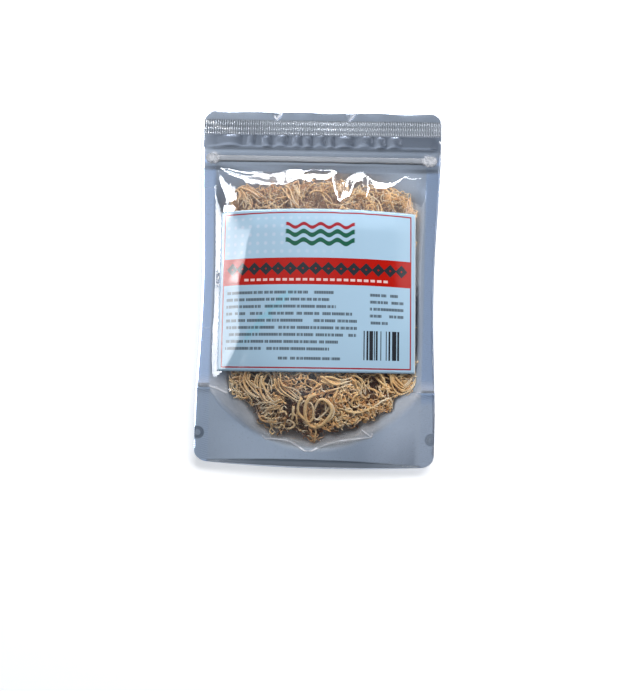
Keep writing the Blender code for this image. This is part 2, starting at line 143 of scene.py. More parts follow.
def makeMaterial(name, surface):
    made = bpy.data.materials.new(name)
    made.use_nodes = True
    tree = made.node_tree
    tree.nodes.clear()
    wire = Wire(tree)
    output = tree.nodes.new("ShaderNodeOutputMaterial")
    tree.links.new(surface(wire).socket, output.inputs["Surface"])
    return made


def colour(r, g, b):
    return (r, g, b, 1.0)


# Shape of the filled pouch

def rise(share, power=2.2):  # 0 at the edge of the filling, 1 from a share of 1 on
    return 1 - (1 - np.clip(share, 0, 1)) ** power


def bow(x, half):
    return np.maximum(0.0, 1 - (x / half) ** 2)


def smooth(share):
    share = np.clip(share, 0, 1)
    return share * share * (3 - 2 * share)


def sideX(y):
    return pouch["halfWidth"] - pouch["waistPinch"] * bow(y, pouch["waistReach"]) ** 2


def innerX(y):
    return sideX(y) - pouch["sideSeal"]


def outlineX(y):
    radius = pouch["cornerRadius"]
    past = np.maximum(0.0, np.abs(y) - (pouch["halfLength"] - radius))
    corner = radius - np.sqrt(np.maximum(0.0, radius ** 2 - past ** 2))
    cut = tearNotch["depth"] * np.clip(1 - np.abs(y - tearNotch["y"]) / tearNotch["half"], 0, 1)
    return sideX(y) - corner - cut


def sealZ(y):
    droop = np.where(y > 0, pouch["topDroop"], pouch["bottomDroop"])
    return pouch["sealHeight"] - droop * (y / pouch["halfLength"]) ** 2


def roundSealY(x):
    share = np.minimum(1.0, np.abs(x) / (pouch["halfWidth"] - pouch["sideSeal"]))
    low, high = pouch["roundSealLow"], pouch["roundSealHigh"]
    return low + (high - low) * share ** pouch["roundSealPower"]


tearNotch = {"y": 0.0999, "half": 0.0011, "depth": 0.0016}

shoulder = {
    # the wavy fold where the filling starts to lift the front film: x and y in mm, then how far down
    # the first steep facet reaches, and how hollow that facet is in its middle
    "fold": [(-79, 81.6, 0.4, 0), (-69.6, 81.5, 0.9, 0), (-62.7, 79.6, 3.1, 1), (-56.8, 78.2, 4.0, 1),
             (-48.9, 76.9, 4.7, 1), (-42, 78.8, 8.0, 0.8), (-35.8, 76.9, 7.6, 0.4), (-28.9, 77.6, 9.6, 0),
             (-22, 80.6, 12.4, 0), (-17.3, 81.6, 11.5, 0), (-13.8, 80.7, 7.3, 0), (-10.3, 79.4, 5.6, 0.4),
             (-5.2, 81.5, 7.5, 0.9), (1.2, 80.4, 6.8, 0.9), (6.9, 81.1, 7.0, 0.3), (11.5, 79.9, 4.0, 0),
             (13.4, 75.0, 0.8, 0), (14.8, 69.5, 0.4, 0), (16.2, 72.8, 4.4, 0), (18.8, 76.0, 8.2, 0),
             (23.3, 78.6, 7.6, 0), (28.4, 79.8, 7.6, 0.3), (31.4, 76.9, 8.8, 0.1), (33.7, 74.2, 7.0, 0),
             (38.4, 72.4, 5.6, 0), (44.2, 71.9, 4.8, 0), (49.9, 72.7, 2.9, 0), (53.3, 75.0, 2.2, 0),
             (56.7, 77.2, 2.1, 0), (60.2, 75.7, 1.7, 0), (64.8, 75.4, 0.9, 0), (79, 75.2, 0.3, 0)],
    "slope": 0.725,
    "asideSlope": 0.09,  # steeper where the fold turns to face the left
    "hollow": 0.26,
    "settled": 0.036,  # from this y down the fold no longer shows
    "power": 1.65,
}

cornerPull = {  # the steep facet under the zip's left end
    # y, x of its foot and x of its ridge, all in mm, then its slope
    "rows": [(38, -62, -61, 0), (46, -63, -58.5, 0.16), (51, -64, -55.6, 0.26), (57, -62.5, -53.4, 0.34),
             (62, -63.8, -54.4, 0.40), (67, -66.4, -56.2, 0.45), (73, -68.4, -60.6, 0.45),
             (79, -69.6, -67.6, 0.45), (83, -70.5, -70.5, 0.45)],
    "fade": 34.0,
}


def shoulderAt(x, part):  # the fold's values in part 1, 2 or 3, read between its points
    xs = np.array([point[0] for point in shoulder["fold"]], float)
    values = np.array([point[part] for point in shoulder["fold"]], float)
    return eased(x / mm, xs, values, 1.5)


def eased(at, places, values, reach):  # read between points, with the corners rounded off
    return np.mean([np.interp(at + off, places, values) for off in np.linspace(-reach, reach, 9)], axis=0)


def shoulderRise(x, y, most):  # height of the front film over its seals, for the most that it rises there
    fold, down, hollow = (shoulderAt(x, part) for part in (1, 2, 3))
    turn = (shoulderAt(x + 0.0025, 1) - shoulderAt(x - 0.0025, 1)) / 5
    pulled = (pulledCorner(x, (fold - 2) * mm) - pulledCorner(x, (fold + 2) * mm)) / (4 * mm)
    aside = 1 + shoulder["asideSlope"] * np.clip(turn - 0.4, 0, 1.6) - 0.3 * np.clip(-turn - 1.3, 0, 1)
    slope = (shoulder["slope"] - np.clip(pulled, 0, 0.4)) * aside / np.sqrt(1 + turn ** 2)
    under = np.maximum(0, fold * mm - y)
    facet = np.minimum(down * mm, 0.8 * most / slope)
    dent = shoulder["hollow"] * hollow
    steep = slope * np.minimum(under, facet) - dent * np.clip(under - 0.22 * facet, 0, 0.42 * facet)
    first = (slope - dent * 0.42) * facet
    past = np.clip((under - facet) / (fold * mm - shoulder["settled"] - facet), 0, 1)
    return steep + (most - first) * rise(past, shoulder["power"])


def pulledCorner(x, y):
    rows = np.array(cornerPull["rows"], float)
    foot, ridge, slope = (eased(y / mm, rows[:, 0], rows[:, i], 1.5) for i in (1, 2, 3))
    tall = slope * np.clip(x / mm - foot, 0, ridge - foot)
    return mm * tall * (1 - smooth((x / mm - ridge) / cornerPull["fade"]))


def sideAndFoot(x, y):
    across = np.minimum(1, np.abs(x) / innerX(y))
    side = 1 - across ** pouch["sidePower"]
    return side * rise((y - roundSealY(x)) / pouch["footSlope"])


def fullness(x, y, top=0.084):
    return sideAndFoot(x, y) * rise((top - y) / pouch["shoulder"])


def noiseAt(x, y, size, seed):
    flat = zip(np.ravel(x) / size, np.ravel(y) / size)
    return np.array([noise.noise(Vector((a, b, seed))) for a, b in flat]).reshape(np.shape(x))


def halfGap(y):
    inZip = smooth((zipper["halfBand"] + 0.0013 - np.abs(y - zipper["middle"])) / 0.0008)
    inFoot = smooth((pouch["foldY"] - y) / 0.006)
    return 0.5 * pouch["gap"] + 0.0007 * inZip + 0.0008 * inFoot


topSeal = {
    "low": 0.1034,
    "high": 0.1137,
    "pitch": 0.0015935,  # of the knurling
    "depth": 0.00060,
    "row": 0.0036,
    "lipWave": 0.0007,
    "lipLobes": [(-62, 8, 0.7), (-47, 9, -0.8), (-30.0, 2.1, 2.3), (-12, 8, -0.8), (3, 9, 0.7),
                 (18.6, 2.1, 2.1), (36, 9, -0.8), (57, 10, 0.8)],  # middle and reach in mm, and how far out
}

puckers = {
    "low": 0.0944,
    "high": 0.1043,
    # both sides of each, in mm
    "pillows": [(-70.9, -53.2), (-50.5, -44.4), (-40.6, -33.2), (-32.4, -22.6), (-20.3, -13.0), (-12.8, -5.8),
                (-5.4, 2.9), (3.2, 9.0), (9.4, 21.9), (23.4, 34.6), (35.6, 43.3), (44.3, 54.0)],
    "height": 0.00090,
    "lean": 0.0011,  # how far the film stands off at their foot
}


def knurl(x, y):
    inside = smooth((y - topSeal["low"]) / 0.0008) * smooth((topSeal["high"] - y) / 0.0008)
    ribs = 0.5 + 0.5 * np.cos(2 * math.pi * x / topSeal["pitch"])
    rows = 0.75 + 0.25 * np.cos(2 * math.pi * y / topSeal["row"])
    return topSeal["depth"] * inside * ribs * rows


def lip(x, y):  # the loose edge above the top seal, where the two films part in waves
    free = np.clip((y - topSeal["high"]) / (pouch["halfLength"] - topSeal["high"]), 0, 1) ** 1.3
    wave = sum(out * np.exp(-((x / mm - at) / reach) ** 2) for at, reach, out in topSeal["lipLobes"])
    return topSeal["lipWave"] * free * wave


def pillows(x, y):  # puckers between the top seal and the zip
    up = np.clip((y - puckers["low"]) / (puckers["high"] - puckers["low"]), 0, 1)
    out = puckers["lean"] / puckers["height"] * (1 - up) * smooth((y - puckers["low"] + 0.0016) / 0.0032)
    out *= smooth((0.0785 - np.abs(x)) / 0.006)
    for i, (left, right) in enumerate(puckers["pillows"]):
        slant = 0.0012 * math.sin(2.3 * i)
        share = (y - puckers["low"] - 0.4 * slant) / (puckers["high"] - puckers["low"])
        tall = smooth(np.clip(4 * share * (1 - share), 0, 1))
        place = (x - slant * (share - 0.5) - left * mm) / ((right - left) * mm)
        dome = np.clip(4 * place * (1 - place), 0, 1) ** 1.15
        lean = 0.8 + 0.4 * (place if i % 3 == 0 else 1 - place)
        out += dome * tall * lean * min(1.0, (right - left) / 9.0)
    return puckers["height"] * out


spotSeals = {  # in mm
    "places": [(-77.6, -97.9), (78.0, -98.5)],
    "dark": (0.8, 0.45),  # how dark the painted shade in each ring groove is
    "radius": 3.9,
    "ringInset": 0.8,
    "width": 0.8,
    "groove": 0.00040,  # depth in metres
}


def spotRelief(x, y):  # round spot seals at the gusset's lower corners: a groove round a rough middle
    out = np.zeros_like(x)
    for spotX, spotY in spotSeals["places"]:
        far = np.hypot(x / mm - spotX, y / mm - spotY)
        ring = np.exp(-((far - spotSeals["radius"] + spotSeals["ringInset"]) / spotSeals["width"]) ** 2)
        middle = smooth((spotSeals["radius"] - 1.2 - far) / 0.8)
        rough = noiseAt(x, y, 0.0016, 7.0) if np.any(middle > 0) else 0
        out += 0.0001 * middle * rough - spotSeals["groove"] * ring
    return out


def atSpot(x, y):
    reach = spotSeals["radius"] + 1
    return np.any([np.hypot(x / mm - a, y / mm - b) < reach for a, b in spotSeals["places"]], axis=0)


# ridges in the front film: points in mm, height and half width in mm, and how white the painted glint along
# each one is
creases = {
    "foot": ([(-33.6, -99.0), (-31.6, -100.8), (-25, -100.6), (-16.9, -101.4), (-10.8, -104.6),
              (-5.3, -108.0), (-1, -107.9), (1.9, -106.4), (9.9, -102.8), (17.7, -100.5), (26.7, -99.3),
              (38.2, -97.8), (38.8, -95.6)], 0.45, 1.1, 0.85),
    "footHook": ([(38.2, -97.6), (32.1, -93.1)], 0.35, 0.9, 0.8),
    "foldLeft": ([(-70.2, -66.9), (-64.2, -68.6), (-58.0, -71.2)], 0.4, 1.1, 0.5),
    "foldDown": ([(-70.2, -66.9), (-65.2, -75.5), (-57.7, -83.3), (-45.9, -93.3)], 0.12, 1.3, 0.10),
    "sealLeft": ([(-78.0, 66.4), (-69.1, 66.5)], 0.10, 0.8, 0.12),
    "sealLow": ([(-77.0, -28.3), (-70.6, -28.1)], 0.10, 0.8, 0.15),
    "lipLeft": ([(-32.3, 116.2), (-30.7, 114.0), (-27.6, 118.4)], 0.25, 1.1, 1.0),
    "lipRight": ([(18.4, 114.0), (21.8, 118.3)], 0.20, 0.9, 0.6),
    "besideLabel": ([(-42.5, 39.1), (-45.4, 28.2), (-46.9, 16.4), (-50.9, 1.5)], 0.9, 8.0, 0),
    "besideLow": ([(-50.9, 1.5), (-50.6, -20.2), (-49.4, -34.0), (-52.8, -42.0), (-59.3, -55.8),
                   (-68.2, -63.7)], 0.7, 7.0, 0),
}


def distanceTo(x, y, points):
    best = np.full(np.shape(x), 1e9)
    for (ax, ay), (bx, by) in zip(points, points[1:]):
        ax, ay, bx, by = (v * mm for v in (ax, ay, bx, by))
        wayX, wayY = bx - ax, by - ay
        along = np.clip(((x - ax) * wayX + (y - ay) * wayY) / (wayX ** 2 + wayY ** 2), 0, 1)
        best = np.minimum(best, np.hypot(x - ax - along * wayX, y - ay - along * wayY))
    return best


def creaseRelief(x, y):
    out = np.zeros_like(x)
    for points, height, half, _ in creases.values():
        out += height * mm * np.clip(1 - distanceTo(x, y, points) / (half * mm), 0, 1) ** 1.2
    return out


filmWhitening = {"pocket": 0.20, "window": 0.025}


# painted glints: white along the creases, laid over the whitened film from haze()
def creaseGlintsAndHaze(x, y):
    out = np.zeros_like(x)
    for points, _, half, white in creases.values():
        if white > 0:
            fade = 0.70 + 0.8 * noiseAt(x, y, 0.006, 9.0)
            near = np.clip(1.3 - 1.3 * distanceTo(x, y, points) / (0.62 * half * mm), 0, 1)
            out = np.maximum(out, white * fade * near)
    return np.clip(out + haze(x, y) * (1 - out), 0, 1)


def haze(x, y):  # whitens the film in the pocket beyond the moss, paints a veil of reflected light over the top window, and makes the zip's crushed ends milky
    pocket = smooth((y - roundSealY(x) - 0.001) / 0.005) * smooth((-0.058 - y) / 0.008)
    low = y + moss["below"]
    beyondMoss = smooth((np.hypot(x, low) - edgeReach(np.arctan2(low, x)) - 0.0005) / 0.003)
    padded = smooth((0.0050 - np.hypot(0.8 * (np.abs(x) - 0.0722), y - zipper["middle"])) / 0.0025)
    padded *= 0.22 + 0.45 * noiseAt(x, y, 0.0016, 6.0)
    # painted veil of reflected light over the top window
    window = smooth((y - 0.046) / 0.004) * smooth((0.080 - y) / 0.006) * smooth((0.066 - np.abs(x)) / 0.004)
    even = filmWhitening["pocket"] * pocket * beyondMoss + filmWhitening["window"] * window
    return even * (1 + 0.5 * noiseAt(x, y, 0.007, 4.0)) + padded


skirt = {  # the foot's loose edges, which part in the middle
    "startY": -0.090,
    "cornerY": -0.1168,
    "half": 0.068,
    "lift": 0.0045,  # of the front film
    "frontBack": 0.0024,  # how far its edge draws back
    "backDrop": 0.0036,  # of the back film
    "backOut": 0.0008,  # how far its edge stands out
}


def skirtShare(y):
    return np.clip((skirt["startY"] - y) / (skirt["startY"] + pouch["halfLength"]), 0, 1)


def lump(x, y, seed):
    return 0.0005 * noiseAt(x, y, 0.024, seed)


def topRelief(x, y, shownY):
    return knurl(x, y) + pillows(x, y) + spotRelief(x, shownY)


def flatFrontZ(x, y):  # the front film if nothing filled the pouch
    return sealZ(y) + halfGap(y) + skirt["lift"] * bow(x, skirt["half"]) * skirtShare(y)


def filledFrontZ(x, y):
    most = sideAndFoot(x, y) * pouch["frontRise"]
    filled = shoulderRise(x, y, most) + pulledCorner(x, y)
    full = filled / pouch["frontRise"]
    return flatFrontZ(x, y) + filled + full * lump(x, y, 1.0) + creaseRelief(x, frontEdgeY(x, y)), full


def frontZ(x, y):
    base, full = filledFrontZ(x, y)
    over = np.exp(-((y - zipper["middle"]) / zipper["filmHalf"]) ** 2)
    over = over * smooth((zipper["reach"] + 0.002 - np.abs(x)) / 0.003)
    wrinkles = full ** 0.5 * (0.00012 * noiseAt(x, y, 0.013, 3.0) + 0.00005 * noiseAt(x, y, 0.006, 5.0))
    return base + zipper["filmRise"] * over + wrinkles + topRelief(x, y, frontEdgeY(x, y)) + lip(x, y)


def backZ(x, y):
    over = sealZ(y) - halfGap(y) - 0.0005 - pouch["backSag"] * fullness(x, y) ** 1.25
    blend = pouch["flatBlend"]
    curved = (over + blend) ** 2 / (4 * blend)
    low = 0.0005 + np.where(over < -blend, 0, np.where(over < blend, curved, over))
    low = low - skirt["backDrop"] * skirtShare(y) ** 3 * bow(x, pouch["halfWidth"])
    return low + topRelief(x, y, backEdgeY(x, y)) - 0.8 * lip(x, y)


def backLeafZ(x, y):
    return backZ(x, y) + pouch["gap"] + 0.00025


def leafZ(x, y):
    under = flatFrontZ(x, y) - pouch["gap"] - 0.00025
    return np.maximum(under - pouch["backSag"] * fullness(x, y) ** 1.5, backLeafZ(x, y) + 0.0008)


def frontEdgeY(x, y):
    reach = pouch["halfLength"] + skirt["cornerY"]
    return y + skirtShare(y) * (skirt["frontBack"] * bow(x, skirt["half"]) + reach)


def backEdgeY(x, y):
    middle = bow(x, pouch["halfWidth"])
    reach = pouch["halfLength"] + skirt["cornerY"]
    return y + skirtShare(y) * (reach * (1 - middle) - skirt["backOut"] * middle)


# Sheets: a flat net of cells, finer where the relief is fine, then lifted to its height

def columnX(column, y):
    outer = outlineX(y)
    inner = np.minimum(innerX(y), outer - 0.3 * pouch["sideSeal"])
    size = np.abs(column)
    return np.sign(column) * np.where(size <= 1, size * inner, inner + (size - 1) * (outer - inner))


def flatNet(lowY, highY, cell, finer):
    rows = round((highY - lowY) / cell)
    across = round(2 * (pouch["halfWidth"] - pouch["sideSeal"]) / cell)
    seal = round(pouch["sideSeal"] / cell)
    half = [1 + (i + 1) / seal for i in range(seal)]
    columns = [-c for c in reversed(half)] + [2 * i / across - 1 for i in range(across + 1)] + half
    net = bmesh.new()
    levels = [lowY + (highY - lowY) * r / rows for r in range(rows + 1)]
    grid = [[net.verts.new((c, level, 0)) for c in columns] for level in levels]
    for low, high in zip(grid, grid[1:]):
        for i in range(len(columns) - 1):
            net.faces.new((low[i], low[i + 1], high[i + 1], high[i]))
    for wanted in finer:
        places = np.array([(0.5 * (e.verts[0].co + e.verts[1].co))[:2] for e in net.edges])
        chosen = wanted(columnX(places[:, 0], places[:, 1]), places[:, 1])
        edges = [e for e, pick in zip(net.edges, chosen) if pick]
        bmesh.ops.subdivide_edges(net, edges=edges, cuts=1, use_grid_fill=True)
    bmesh.ops.triangulate(net, faces=net.faces)
    mesh = bpy.data.meshes.new("net")
    net.to_mesh(mesh)
    net.free()
    return mesh


def vertexArray(mesh):
    flat = np.empty(3 * len(mesh.vertices), np.float32)
    mesh.vertices.foreach_get("co", flat)
    return flat.reshape(-1, 3).astype(float)


def moveVertices(mesh, at):
    mesh.vertices.foreach_set("co", at.astype(np.float32).ravel())


def addValues(mesh, name, values):  # a number or a vector at each vertex, for the material
    kind, field = ("FLOAT", "value") if values.ndim == 1 else ("FLOAT_VECTOR", "vector")
    made = mesh.attributes.new(name, kind, "POINT")
    made.data.foreach_set(field, values.astype(np.float32).ravel())


def addPiece(name, mesh, material, replaced):
    piece = bpy.data.objects.new(name, mesh)
    mesh.materials.clear()
    mesh.materials.append(material)
    mesh.shade_smooth()
    bpy.context.scene.collection.objects.link(piece)
    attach(piece, "root")
    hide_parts(*replaced)
    return piece


def thicken(piece, thickness, offset):
    solid = piece.modifiers.new("Thickness", "SOLIDIFY")
    solid.thickness = thickness
    solid.offset = offset
    solid.use_quality_normals = True


def nearCrease(reach):
    def wanted(x, y):
        picked = np.zeros(np.shape(x), bool)
        for points, _, half, _ in creases.values():
            if half < 2:
                picked |= distanceTo(x, frontEdgeY(x, y), points) < reach
        return picked
    return wanted


def atCorner(x, y, size):
    return (np.abs(x) > pouch["halfWidth"] - size) & (np.abs(y) > pouch["halfLength"] - size)


def filmDetail(x, y):
    return (y > 0.060) | nearCrease(0.0030)(x, y) | atCorner(x, y, 0.010) | atSpot(x, frontEdgeY(x, y))


def filmFineDetail(x, y):
    knurled = (y > topSeal["low"] - 0.0004) & (y < topSeal["high"] + 0.0004)
    notched = (np.abs(y - tearNotch["y"]) < 0.0025) & (np.abs(x) > 0.0765)
    under = shoulderAt(x, 1) - y / mm
    folded = (np.abs(x) < 0.067) & (under > -1.0) & (under < shoulderAt(x, 2) + 1.0)
    spotted = atSpot(x, frontEdgeY(x, y))
    return knurled | notched | folded | spotted | nearCrease(0.0014)(x, y) | atCorner(x, y, 0.009)


def liftedMesh(mesh, moveY, height):
    at = vertexArray(mesh)
    x, y = columnX(at[:, 0], at[:, 1]), at[:, 1]
    moveVertices(mesh, np.column_stack((x, moveY(x, y), height(x, y))))
    mesh.update()
    return mesh


def clearFilmSurface(wire):
    place = wire.add("TexCoord", out="Object")
    smears = place.cloud(40.0, 3.0)
    rough = smears.between(0.35, 0.75) * 0.05 + 0.035
    ripple = place.cloud(260.0)
    normal = ripple.bump(0.25, 0.0002)
    facing = wire.add("LayerWeight", None, {"Blend": 0.5, "Normal": normal}, out="Facing")
    gloss = wire.add("BsdfPrincipled", None, {
        "Base Color": colour(0.95, 0.97, 1.0), "Metallic": 1.0, "Roughness": rough, "Normal": normal})
    clear = wire.add("BsdfTransparent", None, {"Color": colour(0.985, 0.988, 0.99)})
    film = wire.add("MixShader", None, {0: facing ** 5.0 * 0.9 + 0.040, 1: clear, 2: gloss})
    # white mixed in here: painted glints along the creases and the whitened film from haze(), plus dust
    # specks
    glintsAndHaze = wire.add("Attribute", {"attribute_name": "creased"}, None, out="Fac")
    specks = place.cloud(900.0, 1.0)
    dust = specks.between(0.62, 0.72) * 0.05
    white = wire.add("BsdfPrincipled", None, {"Base Color": colour(0.92, 0.92, 0.95), "Roughness": 0.4})
    return wire.add("MixShader", None, {0: glintsAndHaze.math("MAXIMUM", dust), 1: film, 2: white})


sealHatch = {"pitch": 0.00145, "height": 0.22}


def silverSurface(wire):
    place = wire.add("TexCoord", out="Object")
    x, y = place.part(0), place.part(1)
    clouds, grain, crinkle = place.cloud(18.0, 3.0), place.cloud(900.0), place.cloud(120.0, 4.0)
    base = clouds.between(0.3, 0.7).mix(colour(0.60, 0.67, 0.79), colour(0.68, 0.74, 0.85))
    welded = x.math("ABSOLUTE").between(0.0695, 0.0715) * (1 - y.between(0.086, 0.092))
    base = welded.mix(base, colour(0.60, 0.74, 1.0))
    base = paintedFootShade(x, y, welded, base)
    base = sealTones(x, y, clouds, base)
    base = spotShadeAndFlecks(x, y, crinkle, base)
    hatch = ((y + x * 0.25) * (2 * math.pi / sealHatch["pitch"])).math("SINE")
    onSeal = x.math("ABSOLUTE").between(0.0700, 0.0710)
    upper = x.between(-0.01, 0.01).math("MAXIMUM", 1 - y.between(0.0, 0.02))
    hatched = hatch * onSeal * upper * (1 - y.between(0.074, 0.080)) * sealHatch["height"]
    normal = (crinkle * 0.8 + grain * 0.2 + hatched).bump(0.35, 0.0004)
    # painted light: the back film paler and less metallic round the moss, where the moss shades it and is
    # mirrored dark
    across, along = x / 0.058, (y + 0.065) / 0.044
    inPocket = 1 - (across * across + along * along).between(0.72, 1.04)
    return wire.add("BsdfPrincipled", None, {
        "Base Color": (inPocket * 0.9).mix(base, colour(0.93, 0.94, 0.96)),
        "Metallic": 1 - inPocket * 0.25, "Roughness": 0.26 + 0.12 * clouds, "Normal": normal})


def paintedFootShade(x, y, welded, base):  # painted shade below the fold, painted light at its right, and a painted shade line along the fold
    foot = (1 - y.between(-0.0672, -0.0655)) * y.between(-0.1168, -0.1155) * (1 - x.between(0.020, 0.055))
    base = (foot * 0.80).mix(base, colour(0.38, 0.45, 0.56))
    rightFootLight = (1 - y.between(-0.078, -0.070)) * x.between(0.030, 0.060)
    base = (rightFootLight * 0.85).mix(base, colour(0.78, 0.85, 0.98))
    # painted shade line along the fold's edge, on the side seals
    atLeft = 1 - x.between(-0.01, 0.01)
    line = y.within(-0.0677, -0.0658, 0.0003) + y.within(-0.0658, -0.0648, 0.0003) * atLeft
    return (line * welded * 0.8).mix(base, colour(0.10, 0.12, 0.15))


def sealTones(x, y, clouds, base):  # painted shade under the zip, in the puckers and in the knurled seal's grooves
    base = (y.within(0.0790, 0.0842, 0.0008) * 0.7).mix(base, colour(0.44, 0.49, 0.58))
    puckered = y.within(puckers["low"] - 0.001, puckers["high"], 0.0010)
    base = (puckered * 0.7).mix(base, colour(0.42, 0.48, 0.60))
    pressed = y.within(topSeal["low"], topSeal["high"], 0.0008)
    wedge = (y - 0.1118 + (x + 0.078) * 0.36).within(-0.0012, 0.0014, 0.0008)
    wedge = wedge * (1 - x.between(-0.062, -0.054))  # a pale streak across its left end
    base = (pressed * (0.55 + 0.45 * wedge)).mix(base, colour(0.92, 0.93, 0.96))
    # painted shade in the grooves of the knurled seal
    groove = 0.5 - 0.5 * (x * (2 * math.pi / topSeal["pitch"])).math("COSINE")
    grooved = groove * pressed * (1 - 0.8 * wedge) * clouds.between(0.35, 0.6)
    return (grooved * 0.8).mix(base, colour(0.22, 0.25, 0.31))


def spotShadeAndFlecks(x, y, crinkle, base):
    for (spotX, spotY), dark in zip(spotSeals["places"], spotSeals["dark"]):
        across, along = x / mm - spotX, y / mm - spotY
        far = (across * across + along * along).math("SQRT")
        # painted shade in each spot seal's ring groove
        base = (far.within(1.9, 4.2, 0.5) * dark).mix(base, colour(0.13, 0.16, 0.21))
        flecks = (1 - far.between(1.9, 2.9)) * crinkle.between(0.45, 0.6)
        base = (flecks * 0.5).mix(base, colour(0.20, 0.23, 0.28))
    return base


def makeFilms():
    clear = makeMaterial("clear_film", clearFilmSurface)
    silver = makeMaterial("silver_film", silverSurface)
    cell = 0.0016
    half = pouch["halfLength"]
    net = flatNet(-half, half, cell, (filmDetail, filmFineDetail))
    mesh = liftedMesh(net, frontEdgeY, frontZ)
    at = vertexArray(mesh)
    addValues(mesh, "creased", creaseGlintsAndHaze(at[:, 0], at[:, 1]))
    front = addPiece("film_front", mesh, clear, ["front_film"])
    thicken(front, pouch["film"], 1.0)
    net = flatNet(-half, half, cell, (filmBackDetail, filmBackFine))
    back = addPiece("film_back", liftedMesh(net, backEdgeY, backZ), silver, ["back_film"])
    back.data.flip_normals()
    thicken(back, pouch["film"], 1.0)
    makeGusset(silver)
    print("films:", len(front.data.polygons), "and", len(back.data.polygons), "triangles a side")


def filmBackDetail(x, y):
    return (y > 0.094) | atCorner(x, y, 0.010) | atSpot(x, backEdgeY(x, y))


def filmBackFine(x, y):
    knurled = (y > puckers["low"]) & (y < topSeal["high"] + 0.0004)
    return knurled | atCorner(x, y, 0.009) | atSpot(x, backEdgeY(x, y))


gusset = {"topY": -0.0675, "cell": 0.0016, "foldTurns": 6}


def gussetDetail(x, y):
    return atCorner(x, y, 0.009) | atSpot(x, frontEdgeY(x, y))


def makeGusset(silver):
    low, high, cell = -pouch["halfLength"], gusset["topY"], gusset["cell"]
    front = liftedMesh(flatNet(low, high, cell, (gussetDetail, gussetDetail)), frontEdgeY, leafZ)
    back = liftedMesh(flatNet(low, high, cell, (gussetDetail, gussetDetail)), backEdgeY, backLeafZ)
    joined = bmesh.new()
    joined.from_mesh(front)
    edge = topEdge(joined)
    joined.from_mesh(back)
    backEdge = [v for v in topEdge(joined) if v not in set(edge)]
    rows = [edge]
    for turn in range(1, gusset["foldTurns"] + 1):
        angle = math.pi * turn / (gusset["foldTurns"] + 1)
        row = []
        for up, down in zip(edge, backEdge):
            reach = 0.5 * (up.co.z - down.co.z)
            bulge = 0.25 * min(reach, abs(pouch["foldY"] - up.co.y))
            row.append(joined.verts.new((up.co.x, up.co.y + bulge * math.sin(angle),
                                         down.co.z + reach * (1 + math.cos(angle)))))
        rows.append(row)
    rows.append(backEdge)
    for near, far in zip(rows, rows[1:]):
        for i in range(len(near) - 1):
            joined.faces.new((near[i], near[i + 1], far[i + 1], far[i]))
    bmesh.ops.recalc_face_normals(joined, faces=joined.faces)
    mesh = bpy.data.meshes.new("gusset")
    joined.to_mesh(mesh)
    joined.free()
    piece = addPiece("film_gusset", mesh, silver, ["gusset"])
    thicken(piece, pouch["film"], 0.0)


def topEdge(net):
    last = [v for v in net.verts if abs(v.co.y - gusset["topY"]) < 1e-6]
    return sorted(last, key=lambda v: (round(v.co.x, 6), -v.co.z))


# Zip

zipper = {
    "middle": 0.0869,
    "halfBand": 0.0055,
    "stripHalf": 0.0023,  # beyond this the strips are one with the films
    "ribHalf": 0.0018,
    "ribHeight": 0.00128,
    "filmRise": 0.0011,  # how far the film stands up over the rib, and how broadly
    "filmHalf": 0.0027,
    "reach": 0.0684,
    "padX": 0.0735,
    "padRadius": 0.0042,
    "crush": 0.0005,  # roughness of the pressed ends
    "stations": 220,
}


def zipSurface(wire):
    place = wire.add("TexCoord", out="Object")
    streaks = wire.add("Mapping", None, {"Vector": place, "Scale": (20.0, 700.0, 300.0)}).cloud(1.0)
    crush = place.cloud(420.0, 3.0)
    base = streaks.between(0.3, 0.7).mix(colour(0.33, 0.35, 0.39), colour(0.44, 0.45, 0.48))
    plastic = wire.add("BsdfPrincipled", None, {
        "Base Color": base, "Roughness": 0.50 + 0.2 * streaks, "Normal": crush.bump(0.3, 0.0003), "IOR": 1.5})
    fromMiddle = (place.part(1) - zipper["middle"]).math("ABSOLUTE")
    rib = 1 - fromMiddle.between(zipper["ribHalf"] - 0.0001, zipper["ribHalf"] + 0.0003)
    pressed = place.part(0).math("ABSOLUTE").between(zipper["reach"], zipper["reach"] + 0.002)
    milky = rib.math("MAXIMUM", pressed * (0.35 + 0.5 * crush.between(0.4, 0.6))) * 0.84 + 0.04
    clear = wire.add("BsdfTransparent", None, {"Color": colour(0.985, 0.99, 0.995)})
    return wire.add("MixShader", None, {0: milky, 1: clear, 2: plastic})


def makeZip():
    material = makeMaterial("zip_plastic", zipSurface)
    band = zipper["stripHalf"]
    half, high = zipper["ribHalf"], zipper["ribHeight"]
    foot = 0.00045
    turns = [math.pi * i / 10 for i in range(11)]
    arch = [(half * math.cos(turn), foot + (high - foot) * math.sin(turn) ** 0.8) for turn in turns]
    channel = [(band, 0.00018)] + [(band, 0.0005)] + arch + [(-band, 0.0005), (-band, 0.00018)]
    bead = [(band, -0.0005), (band, -0.00018), (0.0009, -0.00015), (0.0006, 0.0001), (-0.0006, 0.0001),
            (-0.0009, -0.00015), (-band, -0.00018), (-band, -0.0005)]
    for name, node, profile in (("zip_upper", "zip_channel", channel), ("zip_lower", "zip_bead", bead)):
        addPiece(name, zipMesh(name, profile), material, [node])
    print("zip: two strips")


